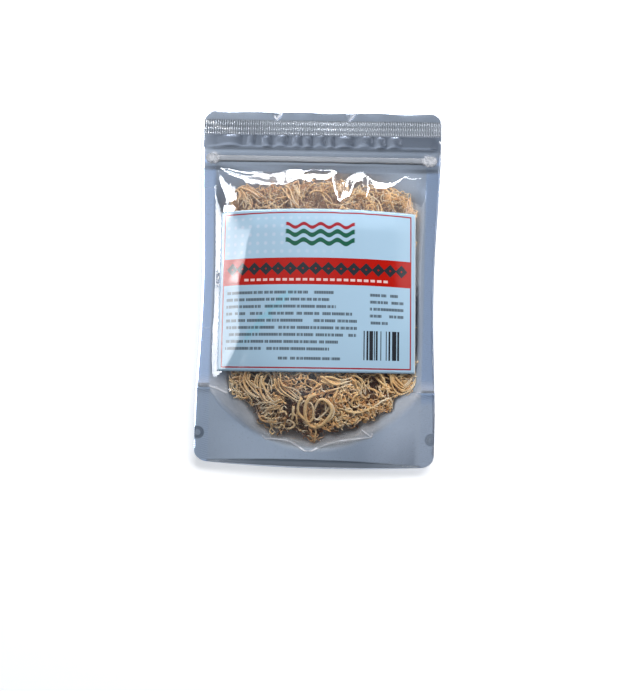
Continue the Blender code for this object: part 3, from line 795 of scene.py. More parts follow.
def zipMesh(name, profile):
    end = zipper["padX"] + zipper["padRadius"]
    count = zipper["stations"]
    points, faces = [], []
    wide = len(profile)
    for i in range(count + 1):
        x = end * (2 * i / count - 1)
        pressed = float(smooth((abs(x) - zipper["reach"]) / 0.003))
        past = max(0.0, abs(x) - zipper["padX"]) / zipper["padRadius"]
        narrow = math.sqrt(max(0.02, 1 - min(1.0, past) ** 2)) * (1 + 0.45 * pressed)
        wave = 0.0003 * noise.noise(Vector((x * 60, 0.3, 0)))
        for y, z in profile:
            crushed = 0
            if pressed > 0.5 and z > 0.0002:
                crushed = zipper["crush"] * noise.noise(Vector((x * 700, y * 500, 2.0)))
            flat = min(z, 0.0006) + crushed
            points.append((x, zipper["middle"] + y * narrow + wave, z + (flat - z) * pressed))
    for i in range(count):
        for j in range(wide):
            a, b = i * wide + j, i * wide + (j + 1) % wide
            faces.append((a, b, b + wide, a + wide))
    faces.append(tuple(range(wide)))
    faces.append(tuple(reversed(range(count * wide, (count + 1) * wide))))
    mesh = bpy.data.meshes.new(name)
    mesh.from_pydata(points, [], faces)
    at = vertexArray(mesh)
    at[:, 2] += sealZ(at[:, 1])
    moveVertices(mesh, at)
    builder = bmesh.new()
    builder.from_mesh(mesh)
    bmesh.ops.recalc_face_normals(builder, faces=builder.faces)
    builder.to_mesh(mesh)
    builder.free()
    return mesh


# Label

label = {
    "corners": [(-65.2, 48.8), (63.6, 50.0), (65.9, -55.0), (-65.2, -56.7)],  # from the upper left, clockwise
    "topBow": 0.8,
    "above": 0.0006,
    "thickness": 0.00018,
    "cells": (88, 70),
    "flatHalf": (67.9, 54.0),  # half its width and height as flat paper
    "border": 3.0,  # from here on in mm, on the label as flat paper
    "borderWidth": 0.95,
    "band": (3.2, 20.6),
    "dotPitch": 5.55,
    "dotRadius": 1.15,
    # blocks of dashes: left, right and lower edge, rows and their pitch, and a seed
    "dashes": [(-61.5, 27.0, -40.5, 9, 4.55, 1.7), (35.5, 59.0, -23.0, 5, 4.5, 5.3),
               (-23.5, 17.0, -46.6, 1, 4.4, 9.1)],
    "waves": [(41.5, 1.15, "borderRed"), (36.5, 1.5, "green"), (31.0, 1.5, "green")],  # height, half width
    "waveLength": 11.0,
    "waveHeight": 1.25,
    "blue": (0.390, 0.555, 0.69, 1.0),
    "paleBlue": (0.53, 0.62, 0.74, 1.0),
    "red": (0.44, 0.007, 0.002, 1.0),
    "borderRed": (0.34, 0.02, 0.03, 1.0),
    "ink": (0.022, 0.024, 0.030, 1.0),
    "green": (0.010, 0.10, 0.055, 1.0),
}


def printedLabel(wire):
    flat = wire.add("Attribute", {"attribute_name": "flat"}, None, out="Vector")
    u, v = flat.part(0), flat.part(1)
    halfU, halfV = label["flatHalf"]
    inset, width = label["border"], label["borderWidth"]
    fromEdge = (halfU - u.math("ABSOLUTE")).math("MINIMUM", halfV - v.math("ABSOLUTE"))
    base = haloDots(u, v)
    base = streak(wire, u, v).mix(base, colour(0.22, 0.56, 0.68))
    base = waves(u, v, base)
    for block in label["dashes"]:
        base = (dashRows(wire, u, v, *block) * 0.92).mix(base, label["ink"])
    base = stripes(u, v).mix(base, label["ink"])
    low, high = label["band"]
    band = v.within(low, high, 0.12) * u.within(inset - halfU, halfU - inset, 0.1)
    base = band.mix(base, bandColour(u, v))
    line = fromEdge.within(inset, inset + width, 0.14) * (1 - band)
    base = line.mix(base, label["borderRed"])
    # pale paper rim at the label's edge, which also stands for a painted highlight on its cut edge
    base = (1 - fromEdge.between(0.35, 0.6)).mix(base, colour(0.74, 0.82, 0.88))
    fibre, cockle = flat.cloud(1.6, 4.0), flat.cloud(0.12)
    normal = (fibre * 0.15 + cockle).bump(0.12, 0.0006)
    return wire.add("BsdfPrincipled", None, {
        "Base Color": base, "Roughness": 0.12 + 0.10 * fibre, "Normal": normal, "IOR": 1.42})


def haloDots(u, v):  # pale halftone dots that fade out towards the right
    pitch = label["dotPitch"]
    du = ((u + 200.0 + 0.5 * pitch) / pitch).math("FRACT") - 0.5
    dv = ((v + 200.0) / pitch).math("FRACT") - 0.5
    far = (du * du + dv * dv).math("SQRT") * pitch
    dots = 1 - far.between(label["dotRadius"] - 0.5, label["dotRadius"] + 0.5)
    fade = (1 - u.between(-45.0, 45.0)) * v.between(22.0, 24.0) * (1 - v.between(46.5, 48.5))
    return (dots * fade * 0.9).mix(label["blue"], label["paleBlue"])


def streak(wire, u, v):  # a faint watery brush stroke
    slant = v + 18.0 - 1.05 * (u + 33.0)
    wavy = wire.add("CombineXYZ", None, {0: u, 1: v}).cloud(0.18)
    body = 1 - (slant * 0.15 + (wavy - 0.5) * 3.0).math("ABSOLUTE").between(0.0, 1.0)
    return body * v.within(-34.0, -1.0, 5.0) * 0.5


def waves(u, v, base):  # a common ornament: three running waves
    span = u.within(-20.0, 25.0, 0.6)
    for middle, half, ink in label["waves"]:
        height = (u * (2 * math.pi / label["waveLength"])).math("SINE") * label["waveHeight"] + middle
        line = 1 - (v - height).math("ABSOLUTE").between(half - 0.2, half + 0.2)
        base = (line * span).mix(base, label[ink])
    return base


def dashRows(wire, u, v, left, right, low, rows, pitch, seed):  # plain dashes in rows
    row = ((v - low) / pitch).math("FLOOR")
    inRow = ((v - low) / pitch).math("FRACT")
    line = inRow.within(0.28, 0.70, 0.05)
    place = wire.add("CombineXYZ", None, {0: u * 0.10, 1: row * 7.7 + seed})
    shift = wire.add("TexNoise", {"noise_dimensions": "2D"}, {"Vector": place, "Scale": 1.0, "Detail": 0.0})
    dash = ((u + shift * 26.0 + row * 3.3) / 6.4).math("FRACT").within(0.02, 0.84, 0.02)
    strokes = 0.80 + 0.20 * (u * (2 * math.pi / 1.1)).math("SINE")
    short = ((row * 12.9898 + seed).math("SINE").math("ABSOLUTE") - 0.55).math("MAXIMUM", 0.0) * 40.0
    ends = u.between(left - 0.2, left + 0.2) * (right - short - u).between(-0.2, 0.2)
    return line * dash * strokes * ends * v.within(low, low + rows * pitch, 0.1)


def stripes(u, v):  # a plain block of upright stripes
    cell = (u / 0.62).math("FLOOR")
    pick = (cell * 78.233).math("SINE") * 43758.5
    dark = pick.math("FRACT").math("ABSOLUTE").between(0.44, 0.46)
    return dark * u.within(31.5, 56.0, 0.1) * v.within(-45.0, -26.0, 0.1)


def bandColour(u, v):  # a row of dark lozenges over a row of pale dashes
    pitch = 8.2
    du = ((u + 20.5 * pitch) / pitch).math("FRACT") - 0.5
    far = du.math("ABSOLUTE") * pitch * 0.95 + (v - 13.6).math("ABSOLUTE")
    lozenge = 1 - far.between(4.2, 4.4)
    inner = far.between(0.6, 0.8)
    dashes = (u / 4.4).math("FRACT").within(0.12, 0.8, 0.04)
    dashes = dashes * v.within(5.6, 7.2, 0.12) * u.within(-48.0, 48.0, 0.2)
    base = (lozenge * inner * u.within(-61.6, 61.6, 0.2)).mix(label["red"], label["ink"])
    return dashes.mix(base, colour(0.80, 0.55, 0.52))


def makeLabel():
    across, along = label["cells"]
    shares = np.meshgrid(np.linspace(0, 1, across + 1), np.linspace(0, 1, along + 1))
    s, t = (share.ravel()[:, None] for share in shares)
    upLeft, upRight, lowRight, lowLeft = (np.array(corner) * mm for corner in label["corners"])
    x, y = (t * (upLeft * (1 - s) + upRight * s) + (1 - t) * (lowLeft * (1 - s) + lowRight * s)).T
    y = y + label["topBow"] * mm * (t * 4 * s * (1 - s)).ravel()
    z = labelZ(x, y)
    points = np.column_stack((x, y, z))
    faces = []
    for r in range(along):
        for c in range(across):
            a = r * (across + 1) + c
            faces.append((a, a + 1, a + across + 2, a + across + 1))
    mesh = bpy.data.meshes.new("label")
    mesh.from_pydata(points.tolist(), [], faces)
    middle, middleRow = along // 2 * (across + 1), slice(across // 2, None, across + 1)
    spread = unrolled(x[middle:middle + across + 1], z[middle:middle + across + 1])
    length = unrolled(y[middleRow], z[middleRow])
    u, v = (a.ravel() for a in np.meshgrid(spread, length))
    addValues(mesh, "flat", np.column_stack((u, v, 0 * u)))
    piece = addPiece("paper_label", mesh, makeMaterial("label_paper", printedLabel), ["label"])
    thicken(piece, label["thickness"], 1.0)
    print("label:", round(spread[-1] - spread[0], 1), "x", round(length[-1] - length[0], 1), "mm flat")


def labelZ(x, y):
    return filledFrontZ(x, y)[0] + label["above"]


def unrolled(places, heights):  # lengths along a curve, in mm from its middle
    steps = np.hypot(np.diff(places), np.diff(heights))
    along = np.concatenate(([0], np.cumsum(steps)))
    return (along - 0.5 * along[-1]) / mm


# Sea moss

moss = {
    "tufts": {  # middle in mm, and how many sprigs
        "moss_tuft_top_left": ((-45, 57), 94),
        "moss_tuft_top_middle": ((-1, 60), 94),
        "moss_tuft_top_right": ((44, 57), 94),
        "moss_tuft_upper_left": ((-34, 17), 14),
        "moss_tuft_upper_right": ((34, 17), 14),
        "moss_tuft_lower_left": ((-34, -25), 16),
        "moss_tuft_lower_right": ((34, -25), 16),
        "moss_tuft_bottom_left": ((-42, -64), 92),
        "moss_tuft_bottom_middle": ((-2, -77), 104),
        "moss_tuft_bottom_right": ((40, -64), 104),
    },
    # outline of the filling in mm, anticlockwise from the right
    "edge": [(62.3, 0), (62.6, 36), (64.8, 52), (61.3, 57), (56.4, 64), (49.4, 68.7), (33.6, 70.2),
             (24.7, 68.7), (20.3, 64.8), (15.8, 71.7), (8.9, 73.7), (-6.9, 74), (-16.8, 71.7),
             (-29.6, 68.7), (-38.5, 67.2), (-50.4, 68.2), (-56.8, 64.3), (-60.5, 49), (-62, 24), (-62, 0),
             (-61.5, -40), (-57, -60), (-53, -75.5), (-42.5, -76), (-36.5, -89.4), (-31.6, -94.3),
             (-15.3, -98.8), (-4.4, -100.3), (10.9, -96.8), (25.2, -91.4), (40.5, -87.4), (51.4, -79.5),
             (56.4, -67.6), (65.3, -66.7), (67.7, -59.7), (66.5, -50), (62.5, -38)],
    "below": 0.012,  # how far below the origin its middle lies
    "short": (0.0026, 0.0028, -0.0014),  # how far short of it strands end: middle, spread and least
    "wander": 0.22,
    "finerTop": 0.70,  # the strands in the upper window are thinner
    "seed": 5,
    "kinds": {  # share, length, thickness, curl and wiggle, each as a range, then steps and branches
        "frizzy": (0.66, (0.014, 0.026), (0.00046, 0.00074), (0, 120), (700, 1250), 26, 7),
        "smooth": (0.14, (0.022, 0.036), (0.00060, 0.00100), (20, 90), (60, 200), 26, 3),
        "hooked": (0.22, (0.014, 0.024), (0.00060, 0.00100), (140, 330), (80, 300), 24, 4),
    },
    # strands that lie side by side near the film: tuft, route in mm, how many, spread and thickness in mm
    "bundles": [
        ("bottom_left", [(-44, -54), (-45.5, -62), (-39.5, -69.5), (-31, -73.5)], 10, 7.5, 0.62),
        ("bottom_left", [(-33, -56), (-35.5, -64.7), (-31.6, -72.6), (-23.7, -78.0)], 7, 5.5, 0.75),
        ("bottom_left", [(-21, -76), (-29, -78.5), (-37, -81.5)], 10, 7.0, 0.55),
        ("bottom_middle", [(-24, -56.8), (-21.2, -65.7), (-13.3, -70.6), (-6.9, -75.5)], 7, 6.0, 0.62),
        ("bottom_middle", [(4, -58.5), (14.0, -61.8), (27, -60.5)], 5, 4.2, 0.95),
        ("bottom_right", [(50.4, -53.0), (52.4, -60.7), (58.3, -66.2), (64.0, -61.5), (66.2, -52.8)],
         10, 7.0, 0.62),
        ("bottom_right", [(22.0, -56.5), (29.5, -62.0), (33.0, -71.0)], 7, 6.5, 0.60),
        ("bottom_left", [(-44.4, -69.6), (-40.9, -76.5), (-41.1, -82.5)], 1, 0.0, 0.50),
        ("top_left", [(-58.7, 66.5), (-45.9, 64.0), (-35.4, 54.0)], 3, 3.0, 0.80),
        ("top_left", [(-56.3, 65.8), (-50.9, 59.1), (-52.8, 51.0)], 3, 4.0, 0.80),
        ("top_middle", [(-23.7, 66.8), (-19.7, 59.8), (-14.8, 51.0)], 3, 4.5, 0.75),
    ],
    "loops": [  # tuft, middle, half width and height, turns and thickness, in mm
        ("bottom_middle", (4.6, -81.0), (10.4, 12.0), 0.95, 1.25),
        ("bottom_middle", (5.2, -81.0), (6.6, 8.8), 1.05, 1.10),
        ("bottom_middle", (-4.2, -80.5), (5.6, 8.0), 1.1, 0.90),
        ("bottom_middle", (-15.4, -90.0), (3.4, 2.8), 0.75, 0.75),
        ("bottom_right", (28.0, -74.5), (3.4, 4.4), 0.70, 0.80),
    ],
    "clearance": 0.0021,  # how far other strands stay below the bundles and loops
}


class HeightField:  # heights on a regular net, read between its points
    def __init__(self, height):
        self.step = 0.001
        self.low = (-0.082, -0.122)
        xs = np.arange(self.low[0], 0.083, self.step)
        ys = np.arange(self.low[1], 0.123, self.step)
        gridX, gridY = np.meshgrid(xs, ys)
        self.z = height(gridX, gridY)

    def __call__(self, x, y):
        a = np.clip((x - self.low[0]) / self.step, 0, self.z.shape[1] - 1.001)
        b = np.clip((y - self.low[1]) / self.step, 0, self.z.shape[0] - 1.001)
        i, j = a.astype(int), b.astype(int)
        s, t = a - i, b - j
        near = self.z[j, i] * (1 - s) + self.z[j, i + 1] * s
        far = self.z[j + 1, i] * (1 - s) + self.z[j + 1, i + 1] * s
        return near * (1 - t) + far * t


def edgeReach(angle):  # how far the filling's outline is from the middle, by direction
    corners = [complex(x, y + moss["below"] / mm) * mm for x, y in moss["edge"]]
    angles = np.array([math.atan2(c.imag, c.real) for c in corners])
    order = np.argsort(angles)
    frayed = 0.0012 * np.sin(23 * angle) + 0.0010 * np.sin(41 * angle + 2)
    return frayed + np.interp(angle, angles[order], np.abs(corners)[order], period=2 * math.pi)


class Pocket:  # the room that the moss has, and each tuft's share of it
    def __init__(self):
        self.top = HeightField(lambda x, y: frontZ(x, 2 * y - frontEdgeY(x, y)))
        self.floor = HeightField(pocketFloor)
        self.below = HeightField(clearOfBundles)
        self.middles = {name: Vector((x * mm, y * mm)) for name, ((x, y), _) in moss["tufts"].items()}

    def keep(self, at, radius, name, spill=0.009, inset=0.0, onTop=False):
        x, y = at[:, 0], at[:, 1]
        middle = self.middles[name]
        for other, place in self.middles.items():
            if other == name:
                continue
            away = place - middle
            far = away.length
            over = ((x - middle.x) * away.x + (y - middle.y) * away.y) / far - 0.5 * far - spill
            over = np.maximum(0, over)
            x, y = x - over * away.x / far, y - over * away.y / far
        cx, cy = x, y + moss["below"]
        reach = edgeReach(np.arctan2(cy, cx))
        shrink = np.minimum(1, (reach - radius - inset) / np.maximum(1e-6, np.hypot(cx, cy)))
        x, y = cx * shrink, cy * shrink - moss["below"]
        low, high = self.floor(x, y) + radius + 0.0003, self.top(x, y) - 1.15 * radius - 0.0003
        if not onTop:
            high = high - self.below(x, y)
        middleZ = 0.5 * (low + high)
        z = np.clip(at[:, 2], np.minimum(low, middleZ), np.maximum(high, middleZ))
        return np.column_stack((x, y, z))

    def height(self, x, y, share):
        low, high = self.floor(x, y), self.top(x, y)
        return low + (high - low) * share


def pocketFloor(x, y):
    over = np.maximum(backZ(x, y), leafZ(x, np.minimum(y, gusset["topY"])) + 0.0007)
    return np.where(y < pouch["foldY"] + 0.004, over, backZ(x, y))


def clearOfBundles(x, y):
    out = np.zeros_like(x)
    for _, route, _, spread, _ in moss["bundles"]:
        out = np.maximum(out, smooth((0.5 * spread * mm + 0.0025 - distanceTo(x, y, route)) / 0.003))
    for _, (middleX, middleY), (halfX, halfY), _, _ in moss["loops"]:
        far = np.hypot((x / mm - middleX) / (halfX + 1.5), (y / mm - middleY) / (halfY + 1.5))
        out = np.maximum(out, smooth((1.1 - far) / 0.3))
    return moss["clearance"] * out


def unit(v):
    return v / np.maximum(1e-9, np.linalg.norm(v, axis=-1, keepdims=True))


def turned(v, axis, angle):  # each row of v, turned about its axis
    c, s = np.cos(angle)[:, None], np.sin(angle)[:, None]
    return v * c + np.cross(axis, v) * s + axis * (axis * v).sum(1, keepdims=True) * (1 - c)


def grow(draw, pocket, name, start, heading, length, radius, curl, steps, level=0.8, wiggle=0.0):
    # strands that curl and wiggle as they go, sliding along the films where they meet them
    count = len(start)
    stride = length / steps
    axis = draw.normal(size=(count, 3)) * (0.6, 0.6, 0.3)
    axis[:, 2] += draw.choice((-1.0, 1.0), count)
    middle, spread, least = moss["short"]
    inset = np.maximum(least, draw.normal(middle, spread, count))
    at = pocket.keep(start, radius, name, inset=inset)
    path = [at]
    wave = draw.uniform(0.0034, 0.0062, count) * np.clip(radius / 0.0005, 0.75, 1)
    phase = draw.uniform(0, 2 * math.pi, count)
    for i in range(steps):
        bend = curl * draw.uniform(0.5, 1.5, count) + wiggle * np.sin(2 * math.pi * i * stride / wave + phase)
        axis = unit(axis + moss["wander"] * draw.normal(size=(count, 3)))
        axis = unit(axis - heading * (axis * heading).sum(1, keepdims=True))
        heading = turned(heading, axis, bend * stride)
        heading = unit(heading * (1, 1, level))
        at = pocket.keep(at + heading * stride[:, None], radius, name, inset=inset)
        heading = unit(at - path[-1] + 1e-6 * heading)
        path.append(at)
    return np.stack(path, axis=1)


def tubes(paths, radii, sides):  # vertices and faces of tubes: paths is strands x points x 3
    count, points, _ = paths.shape
    tangent = unit(np.gradient(paths, axis=1))
    across = np.empty_like(paths)
    seedWay = np.cross(tangent[:, 0], np.array((0.31, 0.22, 0.92)))
    across[:, 0] = unit(seedWay)
    for i in range(1, points):
        kept = across[:, i - 1] - tangent[:, i] * (across[:, i - 1] * tangent[:, i]).sum(1, keepdims=True)
        across[:, i] = unit(kept)
    up = np.cross(tangent, across)
    turns = 2 * math.pi * np.arange(sides) / sides
    ring = across[:, :, None] * np.cos(turns)[:, None] + up[:, :, None] * np.sin(turns)[:, None]
    verts = paths[:, :, None] + ring * radii[:, :, None, None]
    base = (np.arange(count) * points * sides)[:, None, None]
    i = np.arange(points - 1)[None, :, None] * sides
    j = np.arange(sides)[None, None, :]
    a = base + i + j
    b = base + i + (j + 1) % sides
    quads = np.stack((a, b, b + sides, a + sides), -1).reshape(-1, 4)
    caps = [tuple(range(s * points * sides, s * points * sides + sides))[::-1] for s in range(count)]
    caps += [tuple(range((s + 1) * points * sides - sides, (s + 1) * points * sides)) for s in range(count)]
    return verts.reshape(-1, 3), quads, caps


class Tuft:  # the strands of one tuft, gathered into one mesh
    def __init__(self, name, pocket, draw):
        self.name = name
        self.pocket = pocket
        self.draw = draw
        self.verts, self.faces, self.tones, self.count = [], [], [], 0

    def addTubes(self, paths, radii, sides, shade):
        verts, quads, caps = tubes(paths, radii, sides)
        shape = paths.shape[:2] + (sides,)
        along = np.broadcast_to(np.linspace(0, 1, paths.shape[1])[None, :, None], shape).ravel()
        shades = np.broadcast_to(shade[:, None, None], shape).ravel()
        self.addShape(verts, quads.tolist() + caps, along, shades)

    def addShape(self, verts, faces, along, shades):
        low, high = self.pocket.floor(verts[:, 0], verts[:, 1]), self.pocket.top(verts[:, 0], verts[:, 1])
        # depth: how near the film each vertex lies, used for the painted shade of deeper strands
        depth = np.clip(1 - (high - verts[:, 2]) / np.maximum(0.010, high - low), 0, 1)
        self.verts.append(verts)
        self.faces += [tuple(i + self.count for i in face) for face in faces]
        self.tones.append(np.column_stack((along, shades, depth)))
        self.count += len(verts)

    def underFilm(self, x, y, under):
        return np.column_stack((x, y, self.pocket.top(x, y) - under))

    def addBundle(self, points, count, spread, thick):
        draw = self.draw
        route = spline(np.array(points, float) * mm, 26)
        aside = unit(np.gradient(route, axis=0))[:, ::-1] * (1, -1)
        offsets = np.linspace(-0.5, 0.5, count) * spread * mm if count > 1 else np.zeros(1)
        paths = []
        for offset in offsets:
            sway = 0.0009 * np.sin(np.linspace(0, draw.uniform(5, 9), len(route)) + draw.uniform(0, 6))
            fan = 0.55 + 0.6 * np.linspace(0, 1, len(route))
            at = route + aside * (offset * fan + sway + draw.normal(0, 0.0003))[:, None]
            first, last = draw.integers(0, 5), len(route) - draw.integers(0, 6)
            at = at[first:last]
            at = at[np.linspace(0, len(at) - 1, 22).round().astype(int)]
            under = thick * mm * 1.3 + draw.uniform(0.0001, 0.0020)
            flat = self.underFilm(at[:, 0], at[:, 1], under)
            paths.append(self.pocket.keep(flat, 0.0006, self.name, onTop=True))
        paths = softened(np.array(paths))
        radius = np.full(len(paths), thick * mm) * draw.uniform(0.75, 1.1, len(paths))
        shade = draw.uniform(0.45, 0.85, len(paths))
        self.addTubes(paths, taper(radius, paths.shape[1] - 1, 0.4), 6, shade)

    def addLoop(self, middle, half, turns, thick):
        draw = self.draw
        steps = 44
        angle = draw.uniform(0, 6) + np.linspace(0, 2 * math.pi * turns, steps + 1)
        wobble = 0.10 * np.sin(2 * angle + draw.uniform(0, 6))
        wobble = wobble + 0.06 * np.sin(3.4 * angle + draw.uniform(0, 6))
        shrink = np.linspace(1.05, 0.66, steps + 1) + wobble
        x = middle[0] * mm + half[0] * mm * np.cos(angle) * shrink
        y = middle[1] * mm + half[1] * mm * np.sin(angle) * shrink
        under = thick * mm * (1.25 + 1.6 * np.linspace(0, 1, steps + 1))
        path = self.pocket.keep(self.underFilm(x, y, under), 0.0006, self.name, onTop=True)[None]
        self.addTubes(path, taper(np.array([thick * mm]), steps, 0.45), 7, np.array([0.72]))

    def addCore(self):  # the matted middle, under the strands
        places = moss["tufts"]
        (mx, my), _ = places[self.name]
        builder = bmesh.new()
        bmesh.ops.create_icosphere(builder, subdivisions=4, radius=1.0)
        way = np.array([v.co[:] for v in builder.verts])
        faces = [tuple(v.index for v in f.verts) for f in builder.faces]
        builder.free()
        rough = np.array([noise.noise(Vector(w * 5.0)) for w in way])
        size = np.array((0.026, 0.022, 0)) * (1 + 0.35 * rough[:, None])
        at = way * size + np.array((mx * mm, my * mm, 0))
        at = self.pocket.keep(at, 0.004, self.name, 0.0)
        share = 0.30 + (0.20 + 0.12 * rough) * way[:, 2]
        at[:, 2] = self.pocket.height(at[:, 0], at[:, 1], share)
        self.addShape(at, faces, np.zeros(len(at)), np.full(len(at), 0.1))

    def addSprigs(self, count):
        draw, pocket, name = self.draw, self.pocket, self.name
        finer = moss["finerTop"] if "top" in name else 1.0
        (mx, my), _ = moss["tufts"][name]
        start = np.column_stack((mx * mm + draw.uniform(-0.028, 0.028, count),
                                 my * mm + draw.uniform(-0.025, 0.025, count), np.zeros(count)))
        start = pocket.keep(start, 0.001, name)
        high = draw.random(count) < 0.62
        layer = np.where(high, draw.uniform(0.78, 1.0, count), draw.uniform(0.3, 0.8, count))
        start[:, 2] = pocket.height(start[:, 0], start[:, 1], layer)
        angle = draw.uniform(0, 2 * math.pi, count)
        heading = np.column_stack((np.cos(angle), np.sin(angle), draw.normal(0, 0.12, count)))
        first = 0
        for share, length, thick, curl, wiggle, steps, branches in moss["kinds"].values():
            last = min(count, first + round(share * count + 0.4))
            some = slice(first, last)
            number = last - first
            first = last
            radius = draw.uniform(*thick, number) * finer
            shade = draw.uniform(0, 1, number)
            path = grow(draw, pocket, name, start[some], heading[some], draw.uniform(*length, number), radius,
                        draw.uniform(*curl, number), steps, 0.8, draw.uniform(*wiggle, number))
            self.addTubes(path, taper(radius, steps, 0.5), 5, shade)
            for _ in range(branches):
                self.addBranches(path, radius, shade)

    def addBranches(self, path, radius, shade):
        draw, pocket, name = self.draw, self.pocket, self.name
        count, points, _ = path.shape
        at = draw.integers(2, points - 1, count)
        rows = np.arange(count)
        start = path[rows, at]
        ahead = unit(path[rows, at] - path[rows, at - 1])
        heading = unit(ahead * 0.6 + draw.normal(0, 0.6, (count, 3)) * (1, 1, 0.7))
        thin = radius * draw.uniform(0.65, 0.9, count)
        curl = draw.uniform(100.0, 700.0, count)
        steps = 9
        length = draw.uniform(0.0040, 0.0090, count)
        branch = grow(draw, pocket, name, start, heading, length, thin, curl, steps, 1.0)
        tone = np.clip(shade + draw.normal(0, 0.12, count), 0, 1)
        self.addTubes(branch, taper(thin, steps, 0.5), 4, tone)
        if draw.random() < 0.6:
            self.addTwigs(branch, thin, tone)

    def addTwigs(self, path, radius, shade):
        draw, pocket, name = self.draw, self.pocket, self.name
        count, points, _ = path.shape
        rows = np.arange(count)
        at = draw.integers(3, points - 2, count)
        heading = unit(unit(path[rows, at] - path[rows, at - 1]) * 0.5 + draw.normal(0, 0.6, (count, 3)))
        thin = radius * 0.8
        twig = grow(draw, pocket, name, path[rows, at], heading, draw.uniform(0.0018, 0.0040, count), thin,
                    draw.uniform(150.0, 700.0, count), 4, 1.0)
        self.addTubes(twig, taper(thin, 4, 0.5), 4, shade)

    def finish(self, material):
        mesh = bpy.data.meshes.new(self.name)
        mesh.from_pydata(np.concatenate(self.verts).tolist(), [], self.faces)
        addValues(mesh, "tone", np.concatenate(self.tones))
        addPiece(self.name.replace("moss_tuft", "sea_moss"), mesh, material, [self.name])
        print("moss:", self.name, sum(len(f) - 2 for f in self.faces), "triangles")


def spline(points, steps):  # a smooth curve through points
    ends = np.vstack((2 * points[0] - points[1], points, 2 * points[-1] - points[-2]))
    at = np.linspace(0, len(points) - 1 - 1e-6, steps + 1)
    i = at.astype(int)
    t = (at - i)[:, None]
    a, b, c, d = ends[i], ends[i + 1], ends[i + 2], ends[i + 3]
    return b + 0.5 * t * (c - a + t * (2 * a - 5 * b + 4 * c - d + t * (3 * (b - c) + d - a)))


def softened(paths):
    inner = 0.25 * paths[:, :-2] + 0.5 * paths[:, 1:-1] + 0.25 * paths[:, 2:]
    return np.concatenate((paths[:, :1], inner, paths[:, -1:]), axis=1)


def taper(radius, steps, tip):
    share = np.linspace(0, 1, steps + 1)
    return radius[:, None] * (1 - (1 - tip) * share[None, :] ** 1.6)


def mossSurface(wire):
    tone = wire.add("Attribute", {"attribute_name": "tone"}, None, out="Vector")
    along = tone.part(0)
    shade = tone.part(1)
    depth = tone.part(2)
    place = wire.add("TexCoord", out="Object")
    mottle = place.cloud(90.0, 3.0)
    fibre = place.cloud(1600.0)
    body = shade.add("ValToRGB", {"stops": [
        (0.0, colour(0.62, 0.29, 0.11)), (0.35, colour(0.86, 0.49, 0.20)), (0.7, colour(1.0, 0.69, 0.33)),
        (1.0, colour(1.0, 0.82, 0.54))]}, {0: (shade * 0.7 + mottle.between(0.3, 0.7) * 0.3)})
    tips = along.between(0.4, 0.95) * (0.5 + 0.5 * shade)
    body = tips.mix(body, colour(1.0, 0.88, 0.66))
    y = place.part(1)
    # painted shade: deeper strands darker, a little less at the top
    dark = (1 - depth.between(0.50, 0.93)) * (0.85 - 0.2 * y.between(-0.02, 0.02))
    # painted shade colour, lighter and mauve towards the top as a painted veil of the film's reflection
    shadow = y.between(-0.06, 0.05).mix(colour(0.16, 0.060, 0.038), colour(0.40, 0.25, 0.21))
    body = dark.mix(body, shadow)
    x = place.part(0)
    # painted shade over the left part of the moss
    left = 1 - x.between(-0.035, 0.035)
    body = (left * (0.16 + 0.10 * y.between(-0.02, 0.02))).mix(body, shadow)
    body = (fibre.between(0.35, 0.75) * 0.22).mix(body, colour(0.45, 0.24, 0.12))
    normal = fibre.bump(0.35, 0.0002)
    return wire.add("BsdfPrincipled", None, {
        "Base Color": body, "Roughness": 0.42 + 0.2 * mottle, "Normal": normal, "IOR": 1.45})


def makeMoss():
    material = makeMaterial("dried_moss", mossSurface)
    pocket = Pocket()
    for i, (name, (_, sprigs)) in enumerate(moss["tufts"].items()):
        draw = np.random.default_rng(moss["seed"] + i)
        tuft = Tuft(name, pocket, draw)
        tuft.addCore()
        tuft.addSprigs(sprigs)
        for place, *bundle in moss["bundles"]:
            if name.endswith(place):
                tuft.addBundle(*bundle)
        for place, *loop in moss["loops"]:
            if name.endswith(place):
                tuft.addLoop(*loop)
        tuft.finish(material)


# Surroundings

view = {
    "aim": (0.0028, -0.0379, 0.012),
    "distance": 0.600,
    "tilt": 2.14,
    "yaw": 2.40,
    "roll": 1.61,
    "lens": 50.85,
    "sensor": 36.0,
}

# azimuth from +Y towards -X and elevation in degrees, distance, width and height, radiance, and whether
# the lamp is only mirrored in the pouch, only lights it, or does both
lamps = {
    "window_back": ((-1.0, 5.1), 1.3, (1.9, 0.17), 32.0, "mirrored"),
    "window_corner": ((58.0, 5.1), 1.3, (1.1, 0.17), 32.0, "mirrored"),
    "window_side": ((75.0, 14.0), 1.33, (0.37, 0.33), 28.0, "mirrored"),
    "window_low": ((93.0, 13.0), 1.33, (0.37, 0.36), 15.0, "mirrored"),
    "window_left": ((88.0, 28.0), 1.34, (0.60, 0.345), 11.0, "mirrored"),
    "window_right": ((-62.0, 30.0), 1.34, (1.0, 0.4), 2.0, "both"),
    "fill": ((-20.0, 46.0), 1.25, (1.1, 0.45), 11.4, "lights"),
}
lampTint = (0.97, 0.98, 1.0)

surround = {  # brightness of the surroundings by how far up they are, and their tint at the left and right
    "stops": [(0.0, 0.16), (0.55, 0.13), (0.80, 0.22), (0.93, 0.50), (1.0, 0.66)],
    "left": (1.24, 1.32, 1.40),
    "right": (0.42, 0.47, 0.54),
    "turn": 0.35,
}


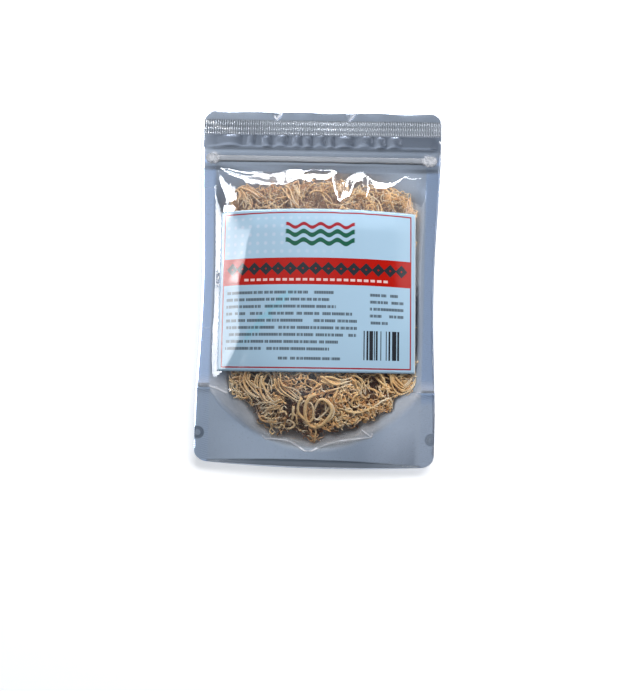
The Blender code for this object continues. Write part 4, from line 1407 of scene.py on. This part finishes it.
def makeCamera():
    data = bpy.data.cameras.new("camera")
    data.sensor_fit = "HORIZONTAL"
    data.sensor_width = view["sensor"]
    data.lens = view["lens"]
    camera = bpy.data.objects.new("camera", data)
    bpy.context.scene.collection.objects.link(camera)
    tilt, yaw, roll = (math.radians(view[turn]) for turn in ("tilt", "yaw", "roll"))
    back = Vector((math.sin(yaw), -math.sin(tilt), math.cos(tilt))).normalized()
    up = Vector((-math.sin(roll), math.cos(roll), 0))
    right = up.cross(back).normalized()
    facing = Matrix((right, back.cross(right), back)).transposed().to_4x4()
    camera.matrix_world = Matrix.Translation(Vector(view["aim"]) + back * view["distance"]) @ facing
    bpy.context.scene.camera = camera


def makeLamps():
    for name, ((azimuth, elevation), distance, size, radiance, use) in lamps.items():
        azimuth, elevation = math.radians(azimuth), math.radians(elevation)
        level = distance * math.cos(elevation)
        place = (-level * math.sin(azimuth), level * math.cos(azimuth), distance * math.sin(elevation))
        data = bpy.data.lights.new(name, "AREA")
        data.shape = "RECTANGLE"
        data.size, data.size_y = size
        data.energy = radiance * math.pi * size[0] * size[1]
        data.color = lampTint
        lamp = bpy.data.objects.new(name, data)
        lamp.visible_glossy = use != "lights"
        lamp.visible_diffuse = use != "mirrored"
        lamp.location = place
        lamp.rotation_euler = (Vector(place) - Vector((0, 0, 0.02))).to_track_quat("Z", "Y").to_euler()
        bpy.context.scene.collection.objects.link(lamp)


def makeSky():
    world = bpy.data.worlds.new("studio")
    world.use_nodes = True
    bpy.context.scene.world = world
    wire = Wire(world.node_tree)
    way = wire.add("TexCoord", out="Generated")
    x = way.part(0)
    z = way.part(2)
    sides = []
    for side in ("left", "right"):
        tint = surround[side]
        stops = [(place, colour(*(bright * part for part in tint))) for place, bright in surround["stops"]]
        sides.append(wire.add("ValToRGB", {"stops": stops}, {0: z}))
    shade = x.between(-surround["turn"], surround["turn"]).mix(*sides)
    background = world.node_tree.nodes["Background"]
    world.node_tree.links.new(shade.socket, background.inputs["Color"])


ground = {"half": 3.0, "drop": 0.0003, "glow": 0.42}


def floorSurface(wire):
    place = wire.add("TexCoord", out="Object")
    cloud = place.cloud(3.0)
    shade = cloud.mix(colour(0.80, 0.80, 0.81), colour(0.83, 0.83, 0.83))
    return wire.add("BsdfPrincipled", None, {
        "Base Color": shade, "Roughness": 0.8, "Emission Color": colour(1, 1, 1),
        "Emission Strength": ground["glow"]})


def makeFloor():
    mesh = bpy.data.meshes.new("floor")
    half = ground["half"]
    corners = [(-half, -half, 0), (half, -half, 0), (half, half, 0), (-half, half, 0)]
    mesh.from_pydata(corners, [], [(0, 1, 2, 3)])
    floor = bpy.data.objects.new("floor", mesh)
    floor.location.z = -ground["drop"]
    mesh.materials.append(makeMaterial("white_surface", floorSurface))
    bpy.context.scene.collection.objects.link(floor)


makeFilms()
makeZip()
makeLabel()
makeMoss()
makeFloor()
makeLamps()
makeSky()
makeCamera()
print("studio: floor, sky, camera and", len(lamps), "lamps")
bpy.context.scene.view_settings.view_transform = "Standard"
